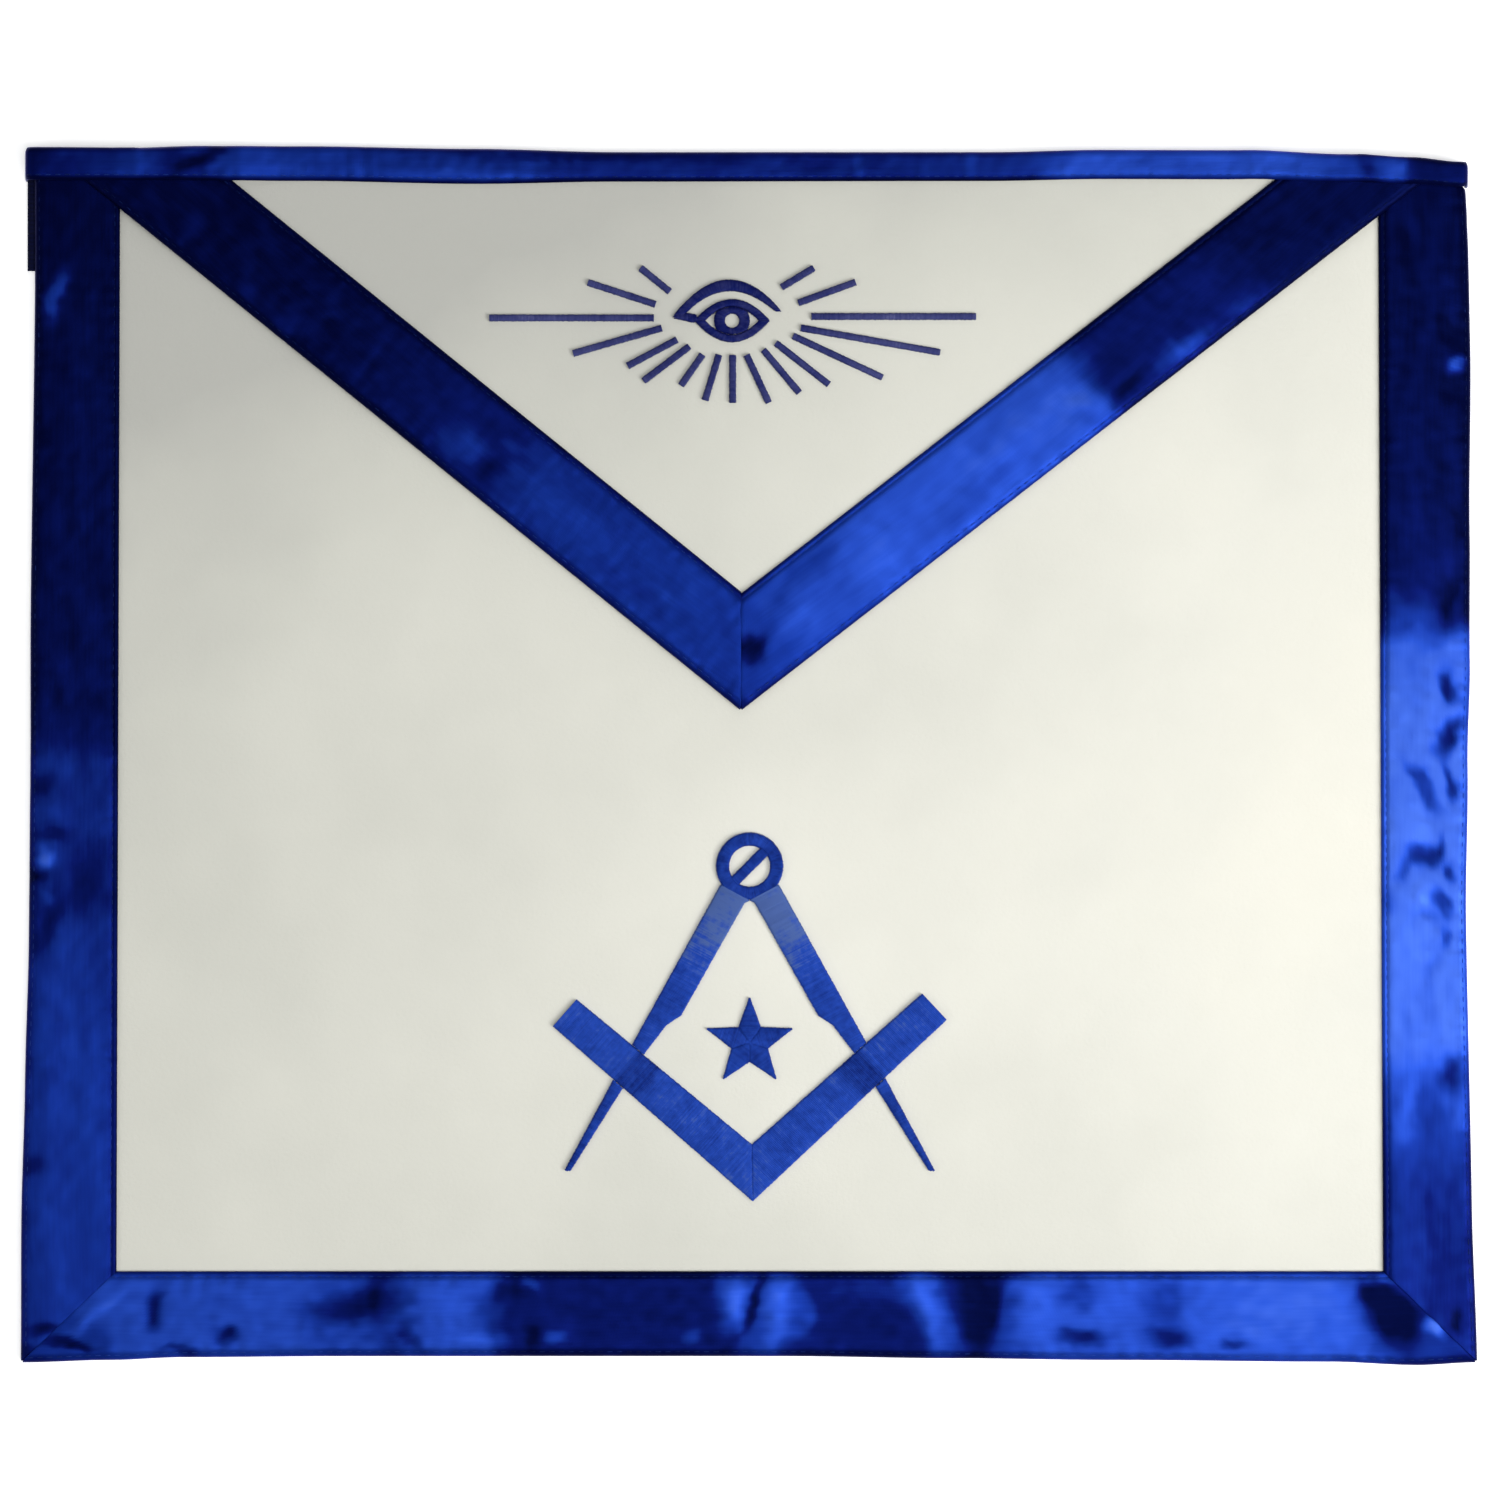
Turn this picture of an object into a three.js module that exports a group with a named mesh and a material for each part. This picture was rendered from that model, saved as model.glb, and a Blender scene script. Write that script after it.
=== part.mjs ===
// A fraternal apron of white leatherette edged with folded satin ribbon, lying flat with its front up.
// Millimetres. +Z is the front, +Y the waist edge and +X the viewer's right. It rests on z = 0.
import * as THREE from 'three';

// Outline
const apronHeight = 351;
const waistWidth = 411.8;
const waistShift = -0.7; // the waist sits this much to the left of the hem
const hemWidth = 421.4;

// Cloth
const ribbonWall = 1.0; // folded satin with its stiffener
const bodyWall = 1.2;
const flapWall = 1.0;
const clearance = 0.3; // between layers that are sewn together
const foldRound = 1.4; // radius of a ribbon's folded edge
const lipRound = 0.4; // radius of a cut-off fold's lower corner

// Ribbons
const ribbonAtWaist = { left: 24.8, right: 23.3 };
const ribbonAtHem = { left: 27.8, right: 27.3 };
const hemRibbonWidth = 26.4;
const turnBack = 12; // width of the ribbon's leg on the back
const ribbonCrown = 0.35; // how far a sewn ribbon domes between its two seams
const puckerHeight = 0.7; // the tallest puff or dent of the satin
const mitreCut = 0.22; // trimmed off each ribbon at a mitre

// Waist binding
const bindingHeight = 9.4;
const bindingOverhang = 2.2; // past the side ribbons at each end
const bindingEnd = 1.0; // thickness of the tucked end
const pocketEase = 1.2; // from the inside of the fold to what it holds
const bindingMargin = 2; // the binding stays up this far past the flap's ribbons

// Flap
const flapInset = 3.1; // from the side ribbons' edge to the flap's corner
const flapDepth = 162.5;
const flapTipShift = -2.3;
const flapRibbonWidth = 26.7;
const flapTipFlat = 3;
const settleRun = 30; // over which the flap comes down from the side ribbons to the body
const pressedRun = 20; // over which the satin fills out again past what presses it flat

// Belt ends
const beltWidth = 33.5;
const beltThickness = 1.0;
const beltLength = 30;
const beltSideGap = 1.3; // from a belt end to the binding's turned-back leg
const beltPeek = 1.8; // past the side ribbon's edge
const beltDropLeft = 0.7; // below the inside of the waist fold
const beltDropRight = 7;

// Embroidery
const stitchHeight = 0.5;
const squareVertexX = 1.1;
const squareVertexRise = 46.9; // from the hem edge to the square's outer vertex
const squareArmLength = 76.7;
const squareAngleLeft = 41.2;
const squareAngleRight = 43.1;
const squareWidthAtEnd = 10.1;
const squareWidthAtVertex = 12.3;
const compassX = 0.2;
const compassRise = 96.7; // from the square's outer vertex to the compasses' joint
const jointRadius = 9.6;
const jointHole = 6.1;
const jointBar = 2.8;
const jointBarAngle = 45;
const legDrop = 88; // from the joint to the points
const legSpread = 53.4; // from the middle to a point
const pointWidth = 1.5;
const starDrop = 51; // from the joint to the star's middle
const starRadius = 13;
const starTips = 5;
const starWaist = 0.42; // share of the radius at the star's inner corners
const eyeX = -4.9;
const eyeDrop = 49.8; // from the waist edge to the middle of the eye
const eyeWidth = 21.7;
const eyeHeight = 12.2;
const eyeLine = 1.9;
const eyeCornerLine = 3; // along the eye's middle, at its corners
const irisRadius = 5.1;
const pupilRadius = 2.2;
const lidWidth = 31.4;
const lidRise = 11.7; // from the middle of the eye to the top of the lid
const lidLine = 3.2;
const lidLeftShare = 0.545; // of its width that lies left of the eye's middle
const lidLeftEnd = 1; // height of its left point over the middle of the eye
const lidRightEnd = 2.6;
const rayRing = 20; // radius that the rays start from
const rayLength = 47.5;
const rayWidth = 1.7;

// How finely the pieces are divided
const sideSteps = 26;
const trimSteps = 4; // of a side ribbon, where its turned-back leg is trimmed
const hemSteps = 38;
const flapSteps = 24;
const waistSteps = 30;
const waistEndSteps = 5;
const holeSteps = 12;
const irisSteps = 32;

// Colours and roughness
const satin = { color: 0x16359a, roughness: 0.35 };
const leatherette = { color: 0xe9e8dc, roughness: 0.7 };
const thread = { color: 0x1f3f9c, roughness: 0.45 };
const web = { color: 0x0c1440, roughness: 0.8 };

// How the waist edge bows out, and how the binding's lower edge follows, as shares of its height.
const waistRows = [
  { at: 0.0, bow: 0.01, sag: 0 },
  { at: 0.06, bow: 0.0, sag: 0 },
  { at: 0.12, bow: 0.08, sag: 0 },
  { at: 0.19, bow: 0.08, sag: 0 },
  { at: 0.31, bow: 0.0, sag: 0.09 },
  { at: 0.41, bow: -0.1, sag: 0.02 },
  { at: 0.67, bow: -0.1, sag: 0 },
  { at: 0.75, bow: -0.03, sag: -0.06 },
  { at: 0.85, bow: -0.04, sag: -0.05 },
  { at: 0.92, bow: -0.18, sag: 0.05 },
  { at: 0.965, bow: -0.3, sag: 0.12 },
  { at: 1.0, bow: -0.44, sag: 0.2 },
];

// How far each border's folded edge bows out, from waist to hem or left to right, as shares of its width.
const leftBows = [
  { at: 0, bow: 0 },
  { at: 0.12, bow: -0.02 },
  { at: 0.37, bow: -0.012 },
  { at: 0.52, bow: -0.03 },
  { at: 0.65, bow: -0.034 },
  { at: 0.77, bow: -0.01 },
  { at: 0.88, bow: 0.012 },
  { at: 1, bow: 0 },
];
const rightBows = [
  { at: 0, bow: 0 },
  { at: 0.06, bow: 0.03 },
  { at: 0.15, bow: 0.092 },
  { at: 0.3, bow: 0.06 },
  { at: 0.41, bow: 0.046 },
  { at: 0.5, bow: 0 },
  { at: 0.63, bow: -0.046 },
  { at: 0.87, bow: -0.03 },
  { at: 1, bow: 0 },
];
const hemBows = [
  { at: 0, bow: 0 },
  { at: 0.06, bow: -0.027 },
  { at: 0.11, bow: -0.058 },
  { at: 0.22, bow: -0.07 },
  { at: 0.52, bow: -0.07 },
  { at: 0.64, bow: -0.046 },
  { at: 0.75, bow: -0.027 },
  { at: 0.9, bow: -0.008 },
  { at: 0.96, bow: 0.03 },
  { at: 1, bow: 0 },
];

// Puffs and dents of the satin: where along the ribbon and across it from the folded edge, half their
// length and half their width as shares of the ribbon's width, and their rise as a share of puckerHeight.
const leftPuckers = [
  { along: 0.122, across: 0.25, length: 0.3, width: 0.14, rise: 0.7 },
  { along: 0.524, across: 0.14, length: 0.2, width: 0.15, rise: -0.4 },
  { along: 0.58, across: 0.24, length: 0.2, width: 0.16, rise: 0.7 },
  { along: 0.615, across: 0.45, length: 0.35, width: 0.3, rise: -0.6 },
  { along: 0.84, across: 0.15, length: 0.2, width: 0.15, rise: -0.3 },
];
const rightPuckers = [
  { along: 0.151, across: 0.17, length: 0.2, width: 0.15, rise: -0.5 },
  { along: 0.178, across: 0.17, length: 0.16, width: 0.15, rise: 0.9 },
  { along: 0.2, across: 0.22, length: 0.2, width: 0.2, rise: -0.5 },
  { along: 0.362, across: 0.2, length: 0.2, width: 0.15, rise: -0.5 },
  { along: 0.439, across: 0.24, length: 0.25, width: 0.15, rise: -0.6 },
  { along: 0.488, across: 0.26, length: 0.25, width: 0.18, rise: -0.8 },
  { along: 0.532, across: 0.42, length: 0.2, width: 0.3, rise: -0.6 },
  { along: 0.585, across: 0.55, length: 0.22, width: 0.28, rise: -0.9 },
  { along: 0.617, across: 0.3, length: 0.2, width: 0.25, rise: -0.7 },
  { along: 0.65, across: 0.28, length: 0.2, width: 0.15, rise: -0.4 },
  { along: 0.758, across: 0.22, length: 0.2, width: 0.15, rise: -0.5 },
];
const hemPuckers = [
  { along: 0.093, across: 0.58, length: 0.12, width: 0.3, rise: -0.6 },
  { along: 0.14, across: 0.28, length: 0.2, width: 0.16, rise: -0.6 },
  { along: 0.22, across: 0.62, length: 0.6, width: 0.2, rise: -0.5 },
  { along: 0.29, across: 0.55, length: 0.5, width: 0.4, rise: 0.5 },
  { along: 0.4, across: 0.5, length: 0.9, width: 0.35, rise: -0.6 },
  { along: 0.49, across: 0.5, length: 0.4, width: 0.45, rise: 0.8 },
  { along: 0.57, across: 0.5, length: 0.55, width: 0.4, rise: -0.7 },
  { along: 0.624, across: 0.5, length: 0.3, width: 0.45, rise: 0.8 },
  { along: 0.66, across: 0.5, length: 0.35, width: 0.35, rise: -0.9 },
  { along: 0.727, across: 0.28, length: 0.3, width: 0.18, rise: -0.5 },
  { along: 0.785, across: 0.4, length: 0.3, width: 0.35, rise: -0.5 },
  { along: 0.857, across: 0.5, length: 0.8, width: 0.4, rise: 0.5 },
  { along: 0.93, across: 0.5, length: 0.35, width: 0.35, rise: -0.9 },
];
const flapLeftPuckers = [
  { along: 0.35, across: 0.4, length: 0.5, width: 0.3, rise: 0.4 },
  { along: 0.62, across: 0.6, length: 0.7, width: 0.3, rise: -0.4 },
];
const flapRightPuckers = [
  { along: 0.38, across: 0.5, length: 0.6, width: 0.3, rise: 0.5 },
  { along: 0.62, across: 0.45, length: 0.6, width: 0.3, rise: -0.3 },
  { along: 0.93, across: 0.55, length: 0.25, width: 0.25, rise: -0.7 },
];

// Where the points of a ribbon's front leg lie, as shares of its width from the folded edge.
const frontShares = [1, 0.95, 0.78, 0.58, 0.38, 0.2];

// A compass leg's inner edge: down as a share of legDrop, out as a share of legSpread.
const legRows = [
  { down: 0.12, out: 0.03 },
  { down: 0.49, out: 0.373 },
  { down: 0.522, out: 0.453 },
  { down: 0.61, out: 0.565 },
];
const legOuterStart = { down: 0.07, out: 0.178 };

// Each ray: the bearing of its inner end and its heading in degrees, its start as a share of rayRing
// and its length as a share of rayLength.
const rayRows = [
  { bearing: 178, start: 1.13, heading: 180, length: 1 },
  { bearing: 168, start: 1.13, heading: 162, length: 0.43 },
  { bearing: 155, start: 0.99, heading: 141, length: 0.23 },
  { bearing: 34, start: 0.86, heading: 31, length: 0.23 },
  { bearing: 15, start: 0.99, heading: 20, length: 0.37 },
  { bearing: 3, start: 1.15, heading: 0, length: 1 },
  { bearing: -6, start: 1, heading: -10, length: 0.86 },
  { bearing: -14, start: 0.91, heading: -25, length: 0.6 },
  { bearing: -27, start: 0.71, heading: -38, length: 0.41 },
  { bearing: -43, start: 0.62, heading: -50, length: 0.34 },
  { bearing: -67, start: 0.54, heading: -65, length: 0.32 },
  { bearing: -89, start: 0.5, heading: -90, length: 0.29 },
  { bearing: -111, start: 0.53, heading: -107, length: 0.29 },
  { bearing: -131, start: 0.65, heading: -125, length: 0.23 },
  { bearing: -149, start: 0.72, heading: -143, length: 0.35 },
  { bearing: -161, start: 0.84, heading: -152, length: 0.34 },
  { bearing: -174, start: 1.02, heading: -164, length: 0.56 },
];

// Levels of the layers, from the underside up
const bodyBottom = ribbonWall + clearance;
const bodyTop = bodyBottom + bodyWall;
const borderUnder = bodyTop + clearance;
const borderTop = borderUnder + ribbonWall;
const halfHeight = apronHeight / 2;
const waistLeft = waistShift - waistWidth / 2;
const waistRight = waistShift + waistWidth / 2;
const edgeInset = ribbonWall + clearance;
const sliver = 0.05; // what is left of a turned-back leg where it is trimmed away

const { lerp, smoothstep, clamp, degToRad } = THREE.MathUtils;
const at = (x, y) => new THREE.Vector2(x, y);

// Reads a column of a table at a share of its length, easing from row to row.
function readTable(rows, column, share) {
  const next = rows.findIndex((row) => row.at >= share);
  if (next < 0) return rows[rows.length - 1][column];
  if (next === 0) return rows[0][column];
  const before = rows[next - 1];
  const after = rows[next];
  return lerp(before[column], after[column], smoothstep(share, before.at, after.at));
}

const waistShare = (x) => clamp((x - waistLeft) / waistWidth, 0, 1);
const waistY = (x) => halfHeight + bindingHeight * readTable(waistRows, 'bow', waistShare(x));
const bindingLowerY = (x) => halfHeight - bindingHeight * (1 + readTable(waistRows, 'sag', waistShare(x)));
const pocketY = (x) => waistY(x) - ribbonWall - pocketEase;

// Evenly spread numbers from first to last.
function spread(first, last, steps) {
  return Array.from({ length: steps + 1 }, (_, i) => lerp(first, last, i / steps));
}

// The point where the line from a along d meets the line from b along e.
function meet(a, d, b, e) {
  const turn = d.x * e.y - d.y * e.x;
  const reach = ((b.x - a.x) * e.y - (b.y - a.y) * e.x) / turn;
  return at(a.x + d.x * reach, a.y + d.y * reach);
}

// Closes a stack of equal outlines into one body. Each outline's flat copy gives the triangles of its cap.
function loft(outlines, firstFlat, lastFlat) {
  const count = outlines[0].length;
  const positions = outlines.flat().flatMap((p) => [p.x, p.y, p.z]);
  const faces = [];
  for (let k = 0; k + 1 < outlines.length; k += 1) {
    for (let j = 0; j < count; j += 1) {
      const next = (j + 1) % count;
      const [a, b, c, d] = [k * count + j, (k + 1) * count + j, (k + 1) * count + next, k * count + next];
      faces.push([a, b, c], [a, c, d]);
    }
  }
  const caps = [
    { flat: firstFlat, offset: 0, along: true },
    { flat: lastFlat, offset: (outlines.length - 1) * count, along: false },
  ];
  for (const cap of caps) {
    const turnsLeft = THREE.ShapeUtils.area(cap.flat) > 0;
    for (const [a, b, c] of THREE.ShapeUtils.triangulateShape(cap.flat, [])) {
      const left = THREE.ShapeUtils.area([cap.flat[a], cap.flat[b], cap.flat[c]]) > 0;
      const face = [a + cap.offset, b + cap.offset, c + cap.offset];
      faces.push((left === turnsLeft) === cap.along ? face : face.reverse());
    }
  }
  return closedGeometry(positions, faces);
}

// A geometry whose faces point out of the body.
function closedGeometry(positions, faces) {
  const corner = (i) => new THREE.Vector3().fromArray(positions, 3 * i);
  const volume = faces.reduce((sum, [a, b, c]) => sum + corner(a).dot(corner(b).cross(corner(c))), 0);
  const outward = volume > 0 ? faces : faces.map(([a, b, c]) => [a, c, b]);
  const geometry = new THREE.BufferGeometry();
  geometry.setAttribute('position', new THREE.Float32BufferAttribute(positions, 3));
  geometry.setIndex(outward.flat());
  geometry.computeVertexNormals();
  return geometry;
}

// The cross-section of a folded ribbon: its front leg, its round fold and its turned-back leg.
// across runs inward from the folded edge and z up from the underside.
function foldSection({ width, back, bottom, under, top, lowerRound }) {
  const front = frontShares.map((share) => ({ across: share * width, z: top, share }));
  const arc = spread(0, Math.PI / 2, 2);
  const upper = arc.map((turn) => ({
    across: foldRound * (1 - Math.sin(turn)),
    z: top - foldRound * (1 - Math.cos(turn)),
  }));
  const lower = arc.map((turn) => ({
    across: lowerRound * (1 - Math.cos(turn)),
    z: bottom + lowerRound * (1 - Math.sin(turn)),
  }));
  const inside = [
    { across: back, z: bottom },
    { across: back, z: bottom + ribbonWall },
    { across: ribbonWall, z: bottom + ribbonWall },
    { across: ribbonWall, z: under },
    { across: width, z: under },
  ];
  return [...front, ...upper, ...lower, ...inside];
}

// The cross-section of a ribbon whose edge is only turned down over the cloth beneath it. Its underside
// has as many points as its front, because it follows the cloth.
function lipSection({ width, under, top }) {
  const section = foldSection({ width, back: ribbonWall, bottom: 0, under, top, lowerRound: lipRound });
  const outside = section.slice(0, -5);
  const underside = [...frontShares].reverse().map((share) => ({ across: share * width, z: under }));
  return [...outside, { across: ribbonWall, z: 0 }, { across: ribbonWall, z: under }, ...underside];
}

// How far the satin stands off its seams: a dome between them, with the puffs and dents of a table.
function satinRise(puckers, length, width, along, share) {
  const dome = ribbonCrown * (1 - (2 * share - 1) ** 4);
  const seamFade = smoothstep(1 - share, 0, 0.2);
  const puckered = puckers.reduce((sum, row) => {
    const u = ((along - row.along) * length) / (row.length * width);
    const v = (share - row.across) / row.width;
    return sum + puckerHeight * row.rise * Math.exp(-u * u - v * v);
  }, 0);
  return dome + puckered * seamFade;
}

// A ribbon laid between its folded edge and its inner edge. Each station has its own cross-section.
function ribbon({ outer, inner, widths, stations, section, bows, puckers, calm, base }) {
  const [a, b] = outer;
  const [c, d] = inner;
  const length = a.distanceTo(b);
  const side = Math.sign((b.x - a.x) * (c.y - a.y) - (b.y - a.y) * (c.x - a.x));
  const outward = at((b.y - a.y) / length, -(b.x - a.x) / length).multiplyScalar(side);
  const flats = [];
  const outlines = stations.map((along) => {
    const width = lerp(widths[0], widths[1], along);
    const bow = width * readTable(bows, 'bow', along);
    const points = section(along, width);
    flats.push(points.map((p) => at(p.across, p.z)));
    return points.map((p) => {
      const share = p.across / width;
      const place = at(0, 0).lerpVectors(a, b, along).lerp(at(0, 0).lerpVectors(c, d, along), share);
      place.addScaledVector(outward, bow * (1 - share));
      const rise = p.share === undefined ? 0 : satinRise(puckers, length, width, along, p.share);
      return new THREE.Vector3(place.x, place.y, p.z + base(place) + calm(place) * rise);
    });
  });
  return loft(outlines, flats[0], flats[flats.length - 1]);
}

// The apron's inner corners, where the white shows
const sightLeftWaist = waistLeft + ribbonAtWaist.left;
const sightRightWaist = waistRight - ribbonAtWaist.right;
const sightLeftHem = -hemWidth / 2 + ribbonAtHem.left;
const sightRightHem = hemWidth / 2 - ribbonAtHem.right;
const sightHemY = -halfHeight + hemRibbonWidth;

// The flap's corners and edges
const flapLeftX = waistLeft + flapInset;
const flapRightX = waistRight - flapInset;
const flapTip = at(flapTipShift, halfHeight - flapDepth);
const flapCorner = { left: at(flapLeftX, waistY(flapLeftX)), right: at(flapRightX, waistY(flapRightX)) };

// The flap's edge on one side, moved inward by a distance.
function flapEdge(side, inset) {
  const corner = flapCorner[side];
  const along = flapTip.clone().sub(corner).normalize();
  const inward = side === 'left' ? at(-along.y, along.x) : at(along.y, -along.x);
  return { from: corner.clone().addScaledVector(inward, inset), along };
}

// Where a flap edge enters the waist fold.
function flapPocketPoint(edge) {
  const guess = meet(edge.from, edge.along, at(0, halfHeight), at(1, 0));
  return meet(edge.from, edge.along, at(guess.x, pocketY(guess.x)), at(1, 0));
}

// Where a flap edge meets the upright line of the flap's mitre.
const flapMitrePoint = (edge) => meet(edge.from, edge.along, flapTip, at(0, 1));

// The flap's underside: on the side ribbons at the corners, coming down to the body over settleRun.
function flapBottom({ x }) {
  const fromLeft = smoothstep(x, sightLeftWaist, sightLeftWaist + settleRun);
  const fromRight = smoothstep(-x, -sightRightWaist, -sightRightWaist + settleRun);
  return borderUnder + (ribbonWall + clearance) * (1 - Math.min(fromLeft, fromRight));
}
const flapRibbonUnder = flapWall + clearance;

// The satin lies flat where the flap or the binding presses on it.
const flapLeavesBorder = meet(flapCorner.left, flapEdge('left', 0).along, at(sightLeftWaist, 0), at(0, 1)).y;
const filledOut = (y, pressedTo) => smoothstep(pressedTo - y, pressedRun / 4, pressedRun);
const borderCalm = ({ y }) => filledOut(y, flapLeavesBorder);
const flapCalm = ({ y }) => filledOut(y, halfHeight - bindingHeight);

// The border ribbons

const beltTop = {
  left: pocketY(waistLeft) + pocketEase - beltDropLeft,
  right: pocketY(waistRight) + pocketEase - beltDropRight,
};
const mitreUp = at(0, mitreCut);
const hemCorner = { left: at(-hemWidth / 2, -halfHeight), right: at(hemWidth / 2, -halfHeight) };
const sightCorner = { left: at(sightLeftHem, sightHemY), right: at(sightRightHem, sightHemY) };

// A side border's four corners: outer and inner edge, from the waist to the hem.
function sideLines(side) {
  const outerX = side === 'left' ? waistLeft : waistRight;
  const innerX = side === 'left' ? sightLeftWaist : sightRightWaist;
  return {
    outer: [at(outerX, pocketY(outerX)), hemCorner[side].clone().add(mitreUp)],
    inner: [at(innerX, pocketY(innerX)), sightCorner[side].clone().add(mitreUp)],
  };
}

// Shares along a side border of its stations: close together where the fold is trimmed for the belt.
const trimStep = 0.0015;
function sideStations(side) {
  const { outer, inner } = sideLines(side);
  const share = turnBack / ribbonAtWaist[side];
  const start = lerp(outer[0].y, inner[0].y, share);
  const end = lerp(outer[1].y, inner[1].y, share);
  const trimmed = (start - (beltTop[side] - beltWidth - clearance)) / (start - end);
  const whole = trimmed + 2 * trimStep;
  const all = [...spread(0, trimmed, trimSteps), trimmed + trimStep, ...spread(whole, 1, sideSteps)];
  return { trimmed, whole, all };
}

function sideBorder(side, bows, puckers) {
  const { trimmed, whole, all } = sideStations(side);
  return ribbon({
    ...sideLines(side),
    widths: [ribbonAtWaist[side], ribbonAtHem[side]],
    stations: all,
    bows,
    puckers,
    calm: borderCalm,
    base: () => 0,
    section: (along, width) => foldSection({
      width,
      back: along >= whole ? turnBack : ribbonWall + sliver,
      bottom: along > trimmed ? 0 : beltThickness + clearance,
      under: borderUnder,
      top: borderTop,
      lowerRound: along >= whole ? foldRound : lipRound,
    }),
  });
}

const hemStations = spread(0, 1, hemSteps);
const hemLines = {
  outer: [hemCorner.left.clone().add(at(mitreCut, 0)), hemCorner.right.clone().sub(at(mitreCut, 0))],
  inner: [sightCorner.left.clone().add(at(mitreCut, 0)), sightCorner.right.clone().sub(at(mitreCut, 0))],
};
const hemBorder = () => ribbon({
  ...hemLines,
  widths: [hemRibbonWidth, hemRibbonWidth],
  stations: hemStations,
  bows: hemBows,
  puckers: hemPuckers,
  calm: () => 1,
  base: () => 0,
  section: (along, width) => foldSection({
    width, back: turnBack, bottom: 0, under: borderUnder, top: borderTop, lowerRound: foldRound,
  }),
});

// Points just inside a border's fold, station by station.
function insetPoints({ outer: [a, b], inner: [c, d] }, widths, stations, bows, outward) {
  return stations.map((along) => {
    const width = lerp(widths[0], widths[1], along);
    const share = edgeInset / width;
    const place = at(0, 0).lerpVectors(a, b, along).lerp(at(0, 0).lerpVectors(c, d, along), share);
    return place.addScaledVector(outward, width * readTable(bows, 'bow', along) * (1 - share));
  });
}

// The white body, cut to lie inside the borders' folds and the waist fold.
function bodyPanel() {
  const sideInset = (side, bows, outward) => insetPoints(
    sideLines(side), [ribbonAtWaist[side], ribbonAtHem[side]], sideStations(side).all, bows, outward,
  );
  const left = sideInset('left', leftBows, at(-1, 0));
  const right = sideInset('right', rightBows, at(1, 0));
  const hem = insetPoints(hemLines, [hemRibbonWidth, hemRibbonWidth], hemStations, hemBows, at(0, -1));
  const waist = bindingStations.filter((x) => x > left[0].x + clearance && x < right[0].x - clearance);
  const top = waist.map((x) => at(x, pocketY(x)));
  const outline = [...left, ...hem, ...right.reverse(), ...top.reverse()];
  const shape = new THREE.Shape(outline);
  return new THREE.ExtrudeGeometry(shape, { depth: bodyWall, bevelEnabled: false });
}

// The flap

// Shares down the flap and across it, closer where it comes down from the side ribbons.
const flapRows = [0, 0.03, 0.06, 0.1, 0.15, 0.22, 0.32, 0.5, 0.75, 1];
const flapHalfColumns = [0, 0.025, 0.05, 0.068, 0.086, 0.104, 0.125, 0.25];
const flapColumns = [...flapHalfColumns, 0.5, ...flapHalfColumns.map((share) => 1 - share).reverse()];

function flapPanel() {
  const edges = { left: flapEdge('left', edgeInset), right: flapEdge('right', edgeInset) };
  const top = { left: flapPocketPoint(edges.left), right: flapPocketPoint(edges.right) };
  const slope = (edge) => Math.abs(edge.along.x / edge.along.y);
  const tipPoint = flapMitrePoint(edges.left);
  const tipY = tipPoint.y + flapTipFlat / (slope(edges.left) + slope(edges.right));
  const tip = {
    left: meet(edges.left.from, edges.left.along, at(0, tipY), at(1, 0)),
    right: meet(edges.right.from, edges.right.along, at(0, tipY), at(1, 0)),
  };
  const place = (down, over) => {
    const x = lerp(lerp(top.left.x, top.right.x, over), lerp(tip.left.x, tip.right.x, over), down);
    const topX = lerp(top.left.x, top.right.x, over);
    return at(x, lerp(pocketY(topX), tipY, down));
  };
  const layer = (rise) => flapRows.flatMap((down) => flapColumns.map((over) => {
    const p = place(down, over);
    return [p.x, p.y, flapBottom(p) + rise];
  }));
  const across = flapColumns.length;
  const total = flapRows.length * across;
  const faces = [];
  const quad = (a, b, c, d) => faces.push([a, b, c], [a, c, d]);
  const rim = [];
  for (let i = 0; i + 1 < flapRows.length; i += 1) {
    for (let j = 0; j + 1 < across; j += 1) {
      const a = i * across + j;
      quad(a, a + across, a + across + 1, a + 1);
      quad(total + a, total + a + 1, total + a + across + 1, total + a + across);
    }
  }
  for (let j = 0; j + 1 < across; j += 1) rim.push(j);
  for (let i = 0; i + 1 < flapRows.length; i += 1) rim.push(i * across + across - 1);
  for (let j = across - 1; j > 0; j -= 1) rim.push((flapRows.length - 1) * across + j);
  for (let i = flapRows.length - 1; i > 0; i -= 1) rim.push(i * across);
  rim.forEach((a, i) => {
    const b = rim[(i + 1) % rim.length];
    quad(a, b, total + b, total + a);
  });
  return closedGeometry([...layer(0), ...layer(flapWall)].flat(), faces);
}

function flapRibbon(side, puckers) {
  const outerEdge = flapEdge(side, 0);
  const innerEdge = flapEdge(side, flapRibbonWidth);
  const trim = at(side === 'left' ? -mitreCut : mitreCut, 0);
  return ribbon({
    outer: [flapPocketPoint(outerEdge), flapMitrePoint(outerEdge).add(trim)],
    inner: [flapPocketPoint(innerEdge), flapMitrePoint(innerEdge).add(trim)],
    widths: [flapRibbonWidth, flapRibbonWidth],
    stations: spread(0, 1, flapSteps),
    bows: [{ at: 0, bow: 0 }, { at: 1, bow: 0 }],
    puckers,
    calm: flapCalm,
    base: flapBottom,
    section: (along, width) => lipSection({
      width, under: flapRibbonUnder, top: flapRibbonUnder + ribbonWall,
    }),
  });
}

// The waist binding

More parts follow.
